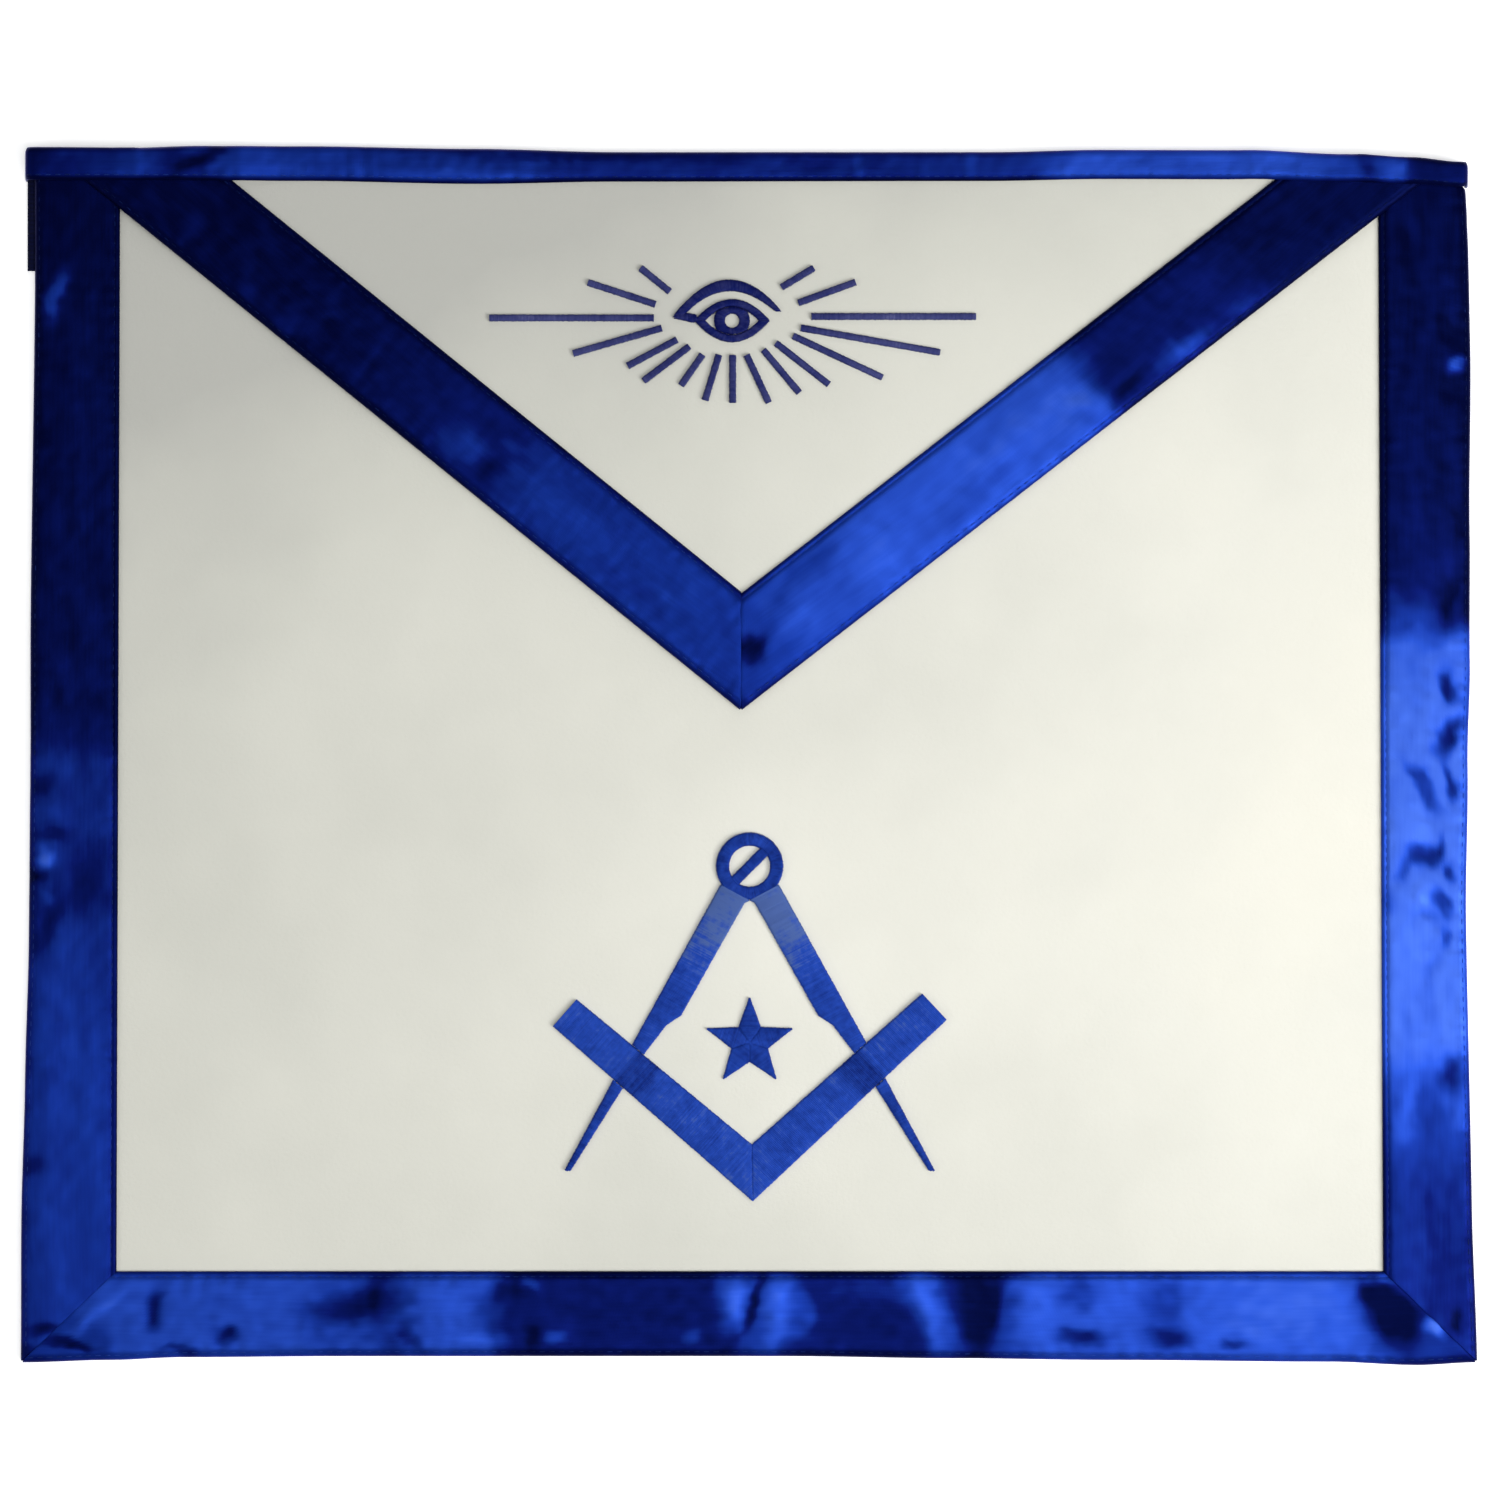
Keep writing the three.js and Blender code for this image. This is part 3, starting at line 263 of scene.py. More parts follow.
HEM_FOLDS = [
    (0.012, 0.3, 0.12, 0.1, 0, -0.14, -0.2),
    (0.035, 0.2, 0.24, 0.055, -12, -0.46, -0.6),
    (0.052, 0.55, 0.4, 0.07, 40, 0.16, 0.3),
    (0.093, 0.57, 0.09, 0.19, -8, -0.5, -0.6),
    (0.105, 0.11, 0.13, 0.05, 0, -0.35, -0.3),
    (0.141, 0.26, 0.13, 0.1, -6, -0.5, -0.6),
    (0.118, 0.06, 0.1, 0.05, 0, -0.3, -0.2),
    (0.229, 0.6, 0.48, 0.17, 12, -0.44, -0.5),
    (0.252, 0.66, 0.17, 0.34, 12, -0.16, -0.3),
    (0.266, 0.25, 0.2, 0.08, -50, -0.3, -0.3),
    (0.288, 0.63, 0.46, 0.32, -8, 0.08, 0.5),
    (0.315, 0.2, 0.4, 0.06, 0, 0.14, 0.2),
    (0.333, 0.78, 0.2, 0.14, 0, -0.25, -0.3),
    (0.35, 0.86, 0.1, 0.08, 0, 0.3, 0.2),
    (0.352, 0.24, 0.1, 0.16, 8, -0.25, -0.3),
    (0.367, 0.23, 0.14, 0.08, 0, 0.3, 0.2),
    (0.405, 0.58, 1.2, 0.5, 0, -0.06, -0.6),
    (0.461, 0.24, 0.12, 0.1, 0, 0.25, 0.2),
    (0.488, 0.62, 0.13, 0.3, -12, 0.4, 0.5),
    (0.503, 0.62, 0.055, 0.34, -16, -0.5, -0.3),
    (0.52, 0.56, 0.16, 0.42, -14, 0.36, 0.8),
    (0.574, 0.5, 0.6, 0.5, 0, -0.06, -0.6),
    (0.592, 0.8, 0.5, 0.14, 0, 0.12, 0.2),
    (0.626, 0.56, 0.17, 0.6, 20, 0.44, 0.5),
    (0.657, 0.56, 0.4, 0.48, 0, -0.36, -0.8),
    (0.7, 0.6, 0.3, 0.4, 0, 0.1, 0.3),
    (0.723, 0.78, 0.24, 0.16, 0, -0.22, -0.3),
    (0.727, 0.25, 0.26, 0.1, -6, -0.46, -0.5),
    (0.785, 0.62, 0.26, 0.32, 4, -0.26, -0.4),
    (0.79, 0.25, 0.24, 0.12, 0, -0.45, -0.5),
    (0.831, 0.18, 0.15, 0.07, 0, -0.4, -0.3),
    (0.865, 0.6, 0.8, 0.4, 0, 0.1, 0.5),
    (0.925, 0.8, 0.16, 0.13, -20, -0.5, -0.5),
    (0.94, 0.54, 0.34, 0.27, -40, -0.6, -0.8),
    (0.936, 0.95, 0.12, 0.05, -50, 0.3, 0.2),
    (0.967, 0.38, 0.13, 0.08, -35, 0.7, 0.5),
    (0.983, 0.42, 0.06, 0.13, 0, -0.4, -0.5),
]
FLAP_LEFT_FOLDS = [
    (0.17, 0.36, 0.08, 0.14, 0, 0.1, 0.2),
    (0.247, 0.4, 0.06, 0.3, 12, 0.07, 0.2),
    (0.27, 0.18, 0.12, 0.1, 0, 0.14, 0.2),
    (0.325, 0.2, 0.14, 0.14, -20, 0.16, 0.3),
    (0.345, 0.6, 0.08, 0.34, 0, 0.05, 0.2),
    (0.42, 0.45, 0.05, 0.3, 6, 0.08, 0.2),
    (0.565, 0.36, 0.26, 0.2, 10, 0.18, 0.3),
    (0.604, 0.3, 0.1, 0.12, 0, -0.22, -0.3),
    (0.6, 0.72, 0.5, 0.1, 6, -0.08, -0.3),
    (0.7, 0.45, 0.7, 0.2, -3, 0.1, 0.2),
    (0.82, 0.3, 0.5, 0.1, 4, -0.08, -0.2),
    (0.87, 0.7, 0.2, 0.3, 0, 0.06, 0.2),
]
FLAP_RIGHT_FOLDS = [
    (0.262, 0.17, 0.3, 0.12, 6, 0.22, 0.2),
    (0.29, 0.6, 0.2, 0.2, 30, 0.06, 0.2),
    (0.352, 0.17, 0.34, 0.12, 4, 0.36, 0.3),
    (0.425, 0.58, 0.45, 0.26, -6, -0.1, -0.4),
    (0.43, 0.2, 0.3, 0.08, -12, -0.22, -0.3),
    (0.47, 0.3, 0.14, 0.3, -24, 0.3, 0.3),
    (0.55, 0.5, 0.8, 0.2, 6, 0.06, 0.2),
    (0.63, 0.3, 0.6, 0.12, -6, -0.1, -0.2),
    (0.77, 0.45, 0.3, 0.24, 0, 0.08, 0.3),
    (0.88, 0.4, 0.24, 0.18, 0, 0.14, 0.3),
    (0.84, 0.8, 0.5, 0.12, 0, -0.1, -0.2),
    (0.947, 0.46, 0.15, 0.13, -20, -0.5, -0.6),
]
BINDING_FOLDS = [
    (0.035, 0.5, 1.0, 0.5, 0, -0.08, 0),
    (0.08, 0.5, 0.3, 0.5, 0, 0.1, 0.1),
    (0.105, 0.45, 0.3, 0.5, 10, -0.12, 0.1),
    (0.123, 0.35, 0.9, 0.22, -30, -0.4, -0.2),
    (0.3, 0.8, 3.4, 0.2, 1, 0.1, 0.1),
    (0.4, 0.2, 5.0, 0.14, 0, -0.16, 0),
    (0.52, 0.4, 3.0, 0.3, -2, -0.08, 0),
    (0.58, 0.5, 0.2, 0.5, 0, 0.12, 0.1),
    (0.655, 0.5, 0.16, 0.5, 0, 0.14, 0.1),
    (0.8, 0.6, 1.2, 0.3, 5, -0.08, 0),
    (0.93, 0.5, 0.36, 0.5, -20, -0.28, -0.1),
    (0.957, 0.6, 0.6, 0.3, 0, 0.16, 0.1),
]

# A compass leg's inner edge: down as a share of the drop, out as a share of the spread.
LEG_ROWS = [(0.12, 0.03), (0.49, 0.373), (0.522, 0.453), (0.61, 0.565)]
LEG_OUTER_START = (0.07, 0.178)

# Each ray: the bearing of its start and its heading in degrees, its start and length as shares.
RAYS = [
    (178, 1.13, 180, 1), (168, 1.13, 162, 0.43), (155, 0.99, 141, 0.23), (34, 0.86, 31, 0.23),
    (15, 0.99, 20, 0.37), (3, 1.15, 0, 1), (-6, 1, -10, 0.86), (-14, 0.91, -25, 0.6),
    (-27, 0.71, -38, 0.41), (-43, 0.62, -50, 0.34), (-67, 0.54, -65, 0.32),
    (-89, 0.5, -90, 0.29), (-111, 0.53, -107, 0.29), (-131, 0.65, -125, 0.23),
    (-149, 0.72, -143, 0.35), (-161, 0.84, -152, 0.34), (-174, 1.02, -164, 0.56),
]


# Curves and meshes

def ease(value, low, high):
    """0 below low, 1 above high, and 3t² − 2t³ of the way t between them."""
    t = np.clip((value - low) / (high - low), 0, 1)
    return t * t * (3 - 2 * t)


def read_table(rows, share):
    """A table of (at, value) rows read at every share, easing from row to row."""
    at, value = np.array(rows, float).T
    k = np.clip(np.searchsorted(at, share), 1, len(at) - 1)
    return value[k - 1] + (value[k] - value[k - 1]) * ease(share, at[k - 1], at[k])


def waves(x, y, length, seed, count=10):
    """Sine waves of about one length in seeded directions, added up and scaled to about −1 to 1."""
    pick = np.random.default_rng(seed)
    total = 0
    for turn, stretch, phase in pick.uniform([0, 0.7, 0], [math.pi, 1.4, 2 * math.pi], (count, 3)):
        run = (x * math.cos(turn) + y * math.sin(turn)) / (length * stretch)
        total = total + np.sin(2 * math.pi * run + phase)
    return total / math.sqrt(count)


def spaced(length, step, dense=()):
    """Shares from 0 to 1 about one step apart, three times closer round each dense place (at, reach)."""
    fine = np.linspace(0, length, 4000)
    density = np.ones_like(fine)
    for at, reach in dense:
        density += 2.2 * np.exp(-(((fine - at * length) / reach) ** 2))
    total = np.concatenate([[0], np.cumsum((density[1:] + density[:-1]) / 2)])
    count = max(2, round(total[-1] * (fine[1] - fine[0]) / step))
    return np.interp(np.linspace(0, total[-1], count + 1), total, fine / length)


def put_mesh(name, points, faces, material, **values):
    """A mesh object from points in mm and faces, with its per-point values as attributes."""
    mesh = bpy.data.meshes.new(name)
    mesh.from_pydata((np.asarray(points, float) * MM).tolist(), [], [list(f) for f in faces])
    mesh.polygons.foreach_set("use_smooth", [True] * len(mesh.polygons))
    for key, value in values.items():
        if value.ndim == 1:
            mesh.attributes.new(key, "FLOAT", "POINT").data.foreach_set("value", value.astype(np.float32))
        else:
            corner = np.empty(len(mesh.loops), np.int32)
            mesh.loops.foreach_get("vertex_index", corner)
            layer = mesh.uv_layers.new(name=key)
            layer.data.foreach_set("uv", (value[corner] * MM).astype(np.float32).ravel())
    mesh.materials.append(material)
    piece = bpy.data.objects.new(name, mesh)
    bpy.context.scene.collection.objects.link(piece)
    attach(piece, "root")
    return piece


def closed_cloth(name, middle, wall, material, lay, tone=None):
    """A closed wall about a middle surface (rows, columns, xyz).

    Each point goes half the wall out along the surface's normal on either side, and faces along the
    rim join the two skins.
    """
    rows, columns = middle.shape[:2]
    normal = np.cross(np.gradient(middle, axis=0), np.gradient(middle, axis=1))
    normal /= np.linalg.norm(normal, axis=2, keepdims=True)
    half = normal * (np.broadcast_to(wall, (rows, columns)) / 2)[..., None]
    points = np.concatenate([(middle + half).reshape(-1, 3), (middle - half).reshape(-1, 3)])
    index = np.arange(rows * columns).reshape(rows, columns)
    skin = np.stack([index[:-1, :-1], index[1:, :-1], index[1:, 1:], index[:-1, 1:]], -1).reshape(-1, 4)
    rim = np.concatenate([index[:-1, 0], index[-1, :-1], index[:0:-1, -1], index[0, :0:-1]])
    after = np.roll(rim, -1)
    under = rows * columns
    edge = np.stack([after, rim, rim + under, after + under], -1)
    faces = np.concatenate([skin, skin[:, ::-1] + under, edge])
    values = {} if tone is None else {"tone": np.tile(np.broadcast_to(tone, (rows, columns)).ravel(), 2)}
    values["lay"] = np.tile(lay.reshape(-1, 2), (2, 1))
    return put_mesh(name, points, faces.tolist(), material, **values)


def thinned(wall, distance, reach):
    """A wall that rounds off towards an edge: wall·√(1 − (1 − d/reach)²), never under 0.34 of it."""
    t = np.clip(distance / reach, 0, 1)
    return wall * np.maximum(np.sqrt(1 - (1 - t) ** 2), 0.34)


def from_rim(down, over, height, width):
    """How far in mm shares down and across lie from a panel's nearest edge."""
    return np.minimum(np.minimum(down, 1 - down) * height, np.minimum(over, 1 - over) * width)


def shares(rows, columns):
    """A grid's shares down and across, from 0 to 1."""
    return np.meshgrid(np.linspace(0, 1, rows), np.linspace(0, 1, columns), indexing="ij")


# Outline of the waist

def waist_share(x):
    return np.clip((x - WAIST_LEFT) / WAIST_WIDTH, 0, 1)


def waist_y(x):
    return HALF + BINDING * read_table(WAIST_BOWS, waist_share(x))


def binding_lower_y(x):
    return HALF - BINDING * (1 + read_table(WAIST_SAGS, waist_share(x)))


def pocket_y(x):
    return waist_y(x) - WALL - POCKET_EASE


SIGHT = {"left": WAIST_LEFT + AT_WAIST["left"], "right": WAIST_RIGHT - AT_WAIST["right"]}
HEM_CORNER = {"left": (-HEM_WIDTH / 2, -HALF), "right": (HEM_WIDTH / 2, -HALF)}
SIGHT_CORNER = {
    "left": (-HEM_WIDTH / 2 + AT_HEM["left"], -HALF + HEM_RIBBON),
    "right": (HEM_WIDTH / 2 - AT_HEM["right"], -HALF + HEM_RIBBON),
}


def meet(a, d, b, e):
    """Where the line from a along d meets the line from b along e."""
    a, d, b, e = (np.array(v, float) for v in (a, d, b, e))
    reach = ((b[0] - a[0]) * e[1] - (b[1] - a[1]) * e[0]) / (d[0] * e[1] - d[1] * e[0])
    return a + d * reach


FLAP_TIP = np.array([FLAP_TIP_SHIFT, HALF - FLAP_DEPTH])
FLAP_X = {"left": WAIST_LEFT + FLAP_INSET, "right": WAIST_RIGHT - FLAP_INSET}


def flap_edge(side, inset):
    """The flap's slanting edge moved inward: a point on it and its direction."""
    corner = np.array([FLAP_X[side], waist_y(FLAP_X[side])])
    along = (FLAP_TIP - corner) / np.linalg.norm(FLAP_TIP - corner)
    inward = np.array([-along[1], along[0]] if side == "left" else [along[1], -along[0]])
    return corner + inward * inset, along


def flap_pocket_point(edge):
    guess = meet(*edge, (0, HALF), (1, 0))
    return meet(*edge, (guess[0], pocket_y(guess[0])), (1, 0))


def flap_mitre_point(edge):
    return meet(*edge, FLAP_TIP, (0, 1))


def flap_bottom(x):
    """The flap's underside: on the side ribbons at the corners, down on the body past them."""
    left = ease(x, SIGHT["left"], SIGHT["left"] + SETTLE)
    right = ease(-x, -SIGHT["right"], -SIGHT["right"] + SETTLE)
    return BORDER_UNDER + (WALL + GAP) * (1 - np.minimum(left, right))


FLAP_LEAVES = meet(*flap_edge("left", 0), (SIGHT["left"], 0), (0, 1))[1]


# The satin ribbons

class Ribbon:
    """Satin laid between its folded edge (share 0) and its inner edge (share 1).

    Its plan lies between two lines, the folded one bowed out by a table. Its height is a level, a
    base that it follows, a dome between its seams, puffs and dents, seam grooves and gathers.
    """

    def __init__(self, outer, inner, widths, bows, folds, tones, level, base, calm, seed):
        self.outer, self.inner = np.array(outer, float), np.array(inner, float)
        self.widths, self.bows, self.folds, self.tones = widths, bows, folds, tones
        self.level, self.base, self.calm, self.seed = level, base, calm, seed
        run = self.outer[1] - self.outer[0]
        self.length = np.linalg.norm(run)
        out = np.array([run[1], -run[0]]) / self.length
        self.outward = -out if np.dot(out, self.inner[0] - self.outer[0]) > 0 else out

    def width(self, along):
        return self.widths[0] + (self.widths[1] - self.widths[0]) * along

    def plan(self, along, share):
        """lerp(folded edge, inner edge, share), plus the bow fading to nothing at the inner edge."""
        along, share = along[..., None], share[..., None]
        folded = self.outer[0] + (self.outer[1] - self.outer[0]) * along
        inner = self.inner[0] + (self.inner[1] - self.inner[0]) * along
        bow = self.width(along) * read_table(self.bows, along)
        return folded + (inner - folded) * share + self.outward * bow * (1 - share)

    def lie(self, along, share):
        """Where a point lies in mm: from the folded edge's start along it, and in from that edge."""
        ahead = (self.outer[1] - self.outer[0]) / self.length
        return (self.plan(along, share) - self.outer[0]) @ ahead, share * self.width(along)

    def marks(self, along, share, power):
        """Each fold's strength at each point: exp(−u^power − v^power) in its own slanted frame."""
        width = self.width(along)
        x, y = self.lie(along, share)
        sway = 0.8 * waves(x, y, 15, self.seed + 1) + 0.3 * waves(x, y, 5, self.seed + 8)
        bend = 0.7 * waves(x, y, 12, self.seed + 2) + 0.25 * waves(x, y, 4, self.seed + 9)
        x, y = x + sway, y + bend
        for at, across, long, wide, slant, tone, rise in self.folds:
            turn = math.radians(slant)
            u, v = (x - at * self.length), (y - across * width)
            u, v = u * math.cos(turn) + v * math.sin(turn), v * math.cos(turn) - u * math.sin(turn)
            strength = np.exp(-np.abs(u / (long * width)) ** power - np.abs(v / (wide * width)) ** power)
            yield strength, tone, rise

    def rise(self, along, share):
        """How far the satin stands off its level: dome + puffs + drift, less grooves and edge."""
        width = self.width(along)
        x, y = self.lie(along, share)
        dome = CROWN * (1 - (2 * share - 1) ** 4)
        puffs = sum(PUCKER * rise * strength for strength, _, rise in self.marks(along, share, 2))
        puffs = puffs * ease(1 - share, 0, 0.2)
        drift = DRIFT[0] * waves(x / 2.4, y, 13, self.seed) + DRIFT[1] * waves(x, y, 5, self.seed + 3)
        groove = 0
        for seam in (SEAM_IN, SEAM_OUT):
            off = np.abs(share - seam) * width
            gather = GATHER * waves(x, 0 * y, 4.2, self.seed + 4) * np.exp(-off / 2.6)
            groove = groove - SEAM_DEPTH * np.exp(-((off / 0.6) ** 2)) + gather
        edge = EDGE_DROP * np.clip(1 - (1 - share) * width / 1.2, 0, 1) ** 2
        shape = dome + puffs + drift * ease(share, 0, 0.15) * ease(1 - share, 0, 0.1)
        place = self.plan(along, share)
        return groove - edge + shape * self.calm(place[..., 0], place[..., 1])

    def front(self, along, share):
        """The middle of the front leg's wall: the plan, at the level, the base and the rise together."""
        place = self.plan(along, share)
        z = self.level + self.base(place[..., 0], place[..., 1]) + self.rise(along, share)
        return np.concatenate([place, z[..., None]], -1)

    def tone(self, along, share):
        """Painted highlight and shade of the satin: the table's tone with the folds' changes, a fine
        drift, and painted shade at the seams and edges.
        """
        width = self.width(along)
        x, y = self.lie(along, share)
        bent = x / self.length + 0.009 * waves(x, y, 24, self.seed + 7)
        tone = read_table(self.tones, np.clip(bent, 0, 1))
        for strength, change, _ in self.marks(along, share, 2.6):
            tone = tone + change * strength
        streak = waves(x / 4, y, 6, self.seed + 5) * waves(x, y, 37, self.seed + 6)
        tone = tone + 0.028 * streak + 0.022 * waves(x, y, 7, self.seed + 10)
        # Painted shade along the seam grooves and at both rolled edges.
        for seam in (SEAM_IN, SEAM_OUT):
            tone = tone - 0.12 * np.exp(-((np.abs(share - seam) * width / 0.9) ** 2))
        rim = np.minimum(share, 1 - share) * width
        return np.clip(tone - EDGE_SHADE * (1 - ease(rim, 0.2, 1.5)), 0, 1)


FRONT = spaced(1, 0.034, [(0.06, 0.04), (0.95, 0.04)])
ARC = np.linspace(0, 1, 9)[1:]
RUN = np.linspace(0, 1, 9)[1:]


def folded_ribbon(name, ribbon, back, whole, lip, ends=()):
    """A ribbon's cross-section carried along it: front leg, fold and turned-back leg.

    The fold is half an ellipse from the front leg down to the back leg. Where whole is 0 it stops
    halfway, and the edge hangs down to the lip's level instead.
    """
    along = spaced(ribbon.length, RIBBON_STEP, [(float(end == "end"), 3) for end in ends])[:, None]
    width = ribbon.width(along)
    front = 1 + (FOLD_START / width - 1) * FRONT
    middle = ribbon.front(along + 0 * front, front)
    last = middle[:, -1:, 2]
    keep = whole(along)
    turn = math.pi * ARC * (0.5 + 0.5 * keep)
    depth = (last - BACK_LEVEL) / 2 * keep + FOLD * (1 - keep)
    arc_across = FOLD_START - FOLD * np.sin(turn)
    arc_z = last - depth * (1 - np.cos(turn))
    end_z = arc_z[:, -1:]
    turned = np.concatenate([arc_across, arc_across[:, -1:] + (back - FOLD_START) * RUN * keep], 1)
    low = np.concatenate([arc_z, end_z + (lip(along) - end_z) * RUN * (1 - keep)], 1)
    turned = turned / width
    rest = ribbon.plan(along + 0 * turned, turned)
    middle = np.concatenate([middle, np.concatenate([rest, low[..., None]], -1)], 1)
    across = np.concatenate([front, turned], 1)
    reach = np.cumsum(np.linalg.norm(np.diff(middle, axis=1, prepend=middle[:, :1]), axis=2), 1)
    wall = np.minimum(thinned(WALL, reach, 0.5), thinned(WALL, reach[:, -1:] - reach, 0.5))
    for end in ends:
        far = (along if end == "start" else 1 - along) * ribbon.length * MITRE_SINE + 0 * across
        drop = MITRE_DROP * np.clip(1 - far / MITRE_REACH, 0, 1) ** 2
        middle[..., 2] -= drop * ease(middle[..., 2], BACK_LEVEL + 1, BORDER_LEVEL)
    # The satin's painted highlight and shade, kept as a point attribute.
    tone = ribbon.tone(along + 0 * across, np.clip(across, 0, 1))
    lay = np.stack([reach, along * ribbon.length + 0 * reach], -1)
    return closed_cloth(name, middle, wall, SATIN, lay, tone)


# Shader helpers

def ink(red, green, blue):
    """A colour as the eye sees it, 0 to 255, made linear."""
    value = np.array([red, green, blue]) / 255
    linear = np.where(value <= 0.04045, value / 12.92, ((value + 0.055) / 1.055) ** 2.4)
    return (*linear.tolist(), 1.0)


def fill(tree, made, inputs):
    """Gives a node's inputs their values, or joins them to other nodes' outputs."""
    for key, value in inputs.items():
        if isinstance(value, bpy.types.NodeSocket):
            tree.links.new(value, made.inputs[key])
        else:
            made.inputs[key].default_value = value
    return made


def node(tree, kind, inputs=(), **settings):
    """A shader node with its settings and its inputs."""
    made = tree.nodes.new("ShaderNode" + kind)
    for key, value in settings.items():
        setattr(made, key, value)
    return fill(tree, made, dict(inputs))


def math_node(tree, operation, a, b=0.0, c=0.0):
    return node(tree, "Math", {0: a, 1: b, 2: c}, operation=operation).outputs[0]


def ramp(tree, factor, stops):
    """Colours blended along stops of (position, colour)."""
    made = node(tree, "ValToRGB", {"Fac": factor})
    points = made.color_ramp.elements
    while len(points) < len(stops):
        points.new(0.5)
    for point, (at, colour) in zip(points, stops):
        point.position, point.color = at, colour
    return made.outputs["Color"]


def new_group(name, inputs, outputs):
    """An empty group with inputs (name, kind, value) and outputs: its tree and their sockets."""
    tree = bpy.data.node_groups.new(name, "ShaderNodeTree")
    for label, kind, value in inputs:
        socket = tree.interface.new_socket(label, in_out="INPUT", socket_type="NodeSocket" + kind)
        if kind == "Float":
            socket.default_value = value
    for label in outputs:
        tree.interface.new_socket(label, in_out="OUTPUT", socket_type="NodeSocketFloat")
    return tree, tree.nodes.new("NodeGroupInput").outputs, tree.nodes.new("NodeGroupOutput").inputs


def weave_group():
    """Threads crossing at the given counts for each metre: their height, and a fleck of shade.

    Height is the larger share of |sin(πu·across)| plus the rest of |sin(πv·along)|. The fleck is
    noise drawn out along the threads.
    """
    inputs = [
        ("Vector", "Vector", None), ("Across", "Float", 2500), ("Along", "Float", 1200),
        ("Weft", "Float", 0.3),
    ]
    tree, given, made = new_group("weave", inputs, ["Height", "Fleck"])
    part = node(tree, "SeparateXYZ", {0: given["Vector"]}).outputs

    def threads(value, count):
        turn = math_node(tree, "MULTIPLY", math_node(tree, "MULTIPLY", value, count), math.pi)
        return math_node(tree, "ABSOLUTE", math_node(tree, "SINE", turn))

    warp, weft = threads(part[0], given["Across"]), threads(part[1], given["Along"])
    kept = math_node(tree, "MULTIPLY", warp, math_node(tree, "SUBTRACT", 1.0, given["Weft"]))
    tree.links.new(math_node(tree, "MULTIPLY_ADD", weft, given["Weft"], kept), made["Height"])
    drawn = node(tree, "Mapping", {"Vector": given["Vector"], "Scale": (900, 60, 1)}).outputs[0]
    noise = node(tree, "TexNoise", {"Vector": drawn, "Scale": 1.0, "Detail": 3.0})
    tree.links.new(noise.outputs["Fac"], made["Fleck"])
    return tree


def mottle_group():
    """Soft noise of a scale, spread from low to high."""
    inputs = [
        ("Vector", "Vector", None), ("Scale", "Float", 30), ("Low", "Float", 0), ("High", "Float", 1),
    ]
    tree, given, made = new_group("mottle", inputs, ["Value"])
    noise = node(tree, "TexNoise", {"Vector": given["Vector"], "Scale": given["Scale"], "Detail": 4.0})
    spread = node(tree, "MapRange", {
        "Value": noise.outputs["Fac"], "From Min": 0.3, "From Max": 0.7,
        "To Min": given["Low"], "To Max": given["High"],
    })
    tree.links.new(spread.outputs["Result"], made["Value"])
    return tree


WEAVE, MOTTLE = weave_group(), mottle_group()


def use(tree, group, **inputs):
    """A group placed in a material with its own values: its outputs."""
    made = tree.nodes.new("ShaderNodeGroup")
    made.node_tree = group
    return fill(tree, made, inputs).outputs


def mottle(tree, where, scale, low, high):
    return use(tree, MOTTLE, Vector=where, Scale=scale, Low=low, High=high)["Value"]


def weave(tree, across, along, weft):
    """A weave laid along the piece's own map."""
    lay = node(tree, "UVMap", uv_map="lay").outputs[0]
    return use(tree, WEAVE, Vector=lay, Across=across, Along=along, Weft=weft)


def object_place(tree):
    return node(tree, "TexCoord").outputs["Object"]


def new_material(name, **values):
    """A material, its nodes and its shader, with the given values on the shader's own sockets."""
    made = bpy.data.materials.new(name)
    made.use_nodes = True
    shader = made.node_tree.nodes["Principled BSDF"]
    for key, value in values.items():
        shader.inputs[key.replace("_", " ")].default_value = value
    return made, made.node_tree, shader.inputs


def bump(tree, height, distance, strength=1.0):
    return node(tree, "Bump", {"Height": height, "Distance": distance, "Strength": strength}).outputs[0]


def satin():
    """Blue satin: painted highlight and shade, standing in for its sheen, run from navy to bright blue by
    the tone attribute, with fine flecks.
    """
    made, tree, shader = new_material(
        "blue_satin", Metallic=0.42, Specular_IOR_Level=0.12, Anisotropic=0.4,
        Specular_Tint=ink(70, 110, 255),
    )
    tone = node(tree, "Attribute", attribute_name="tone").outputs["Fac"]
    cloth = weave(tree, 2400, 1100, 0.25)
    fleck = math_node(tree, "MULTIPLY_ADD", cloth["Fleck"], 0.1, -0.05)
    # The tone attribute is painted highlight and shade; the fleck is the cloth's own.
    painted_sheen_and_fleck = math_node(tree, "ADD", tone, fleck)
    tree.links.new(ramp(tree, painted_sheen_and_fleck, [
        (0.0, ink(2, 5, 44)), (0.25, ink(7, 19, 90)), (0.5, ink(18, 46, 137)), (0.75, ink(36, 73, 182)),
        (1.0, ink(62, 99, 202)),
    ]), shader["Base Color"])
    tree.links.new(mottle(tree, object_place(tree), 60.0, 0.36, 0.48), shader["Roughness"])
    tree.links.new(bump(tree, cloth["Height"], 0.00004, 0.5), shader["Normal"])
    return made


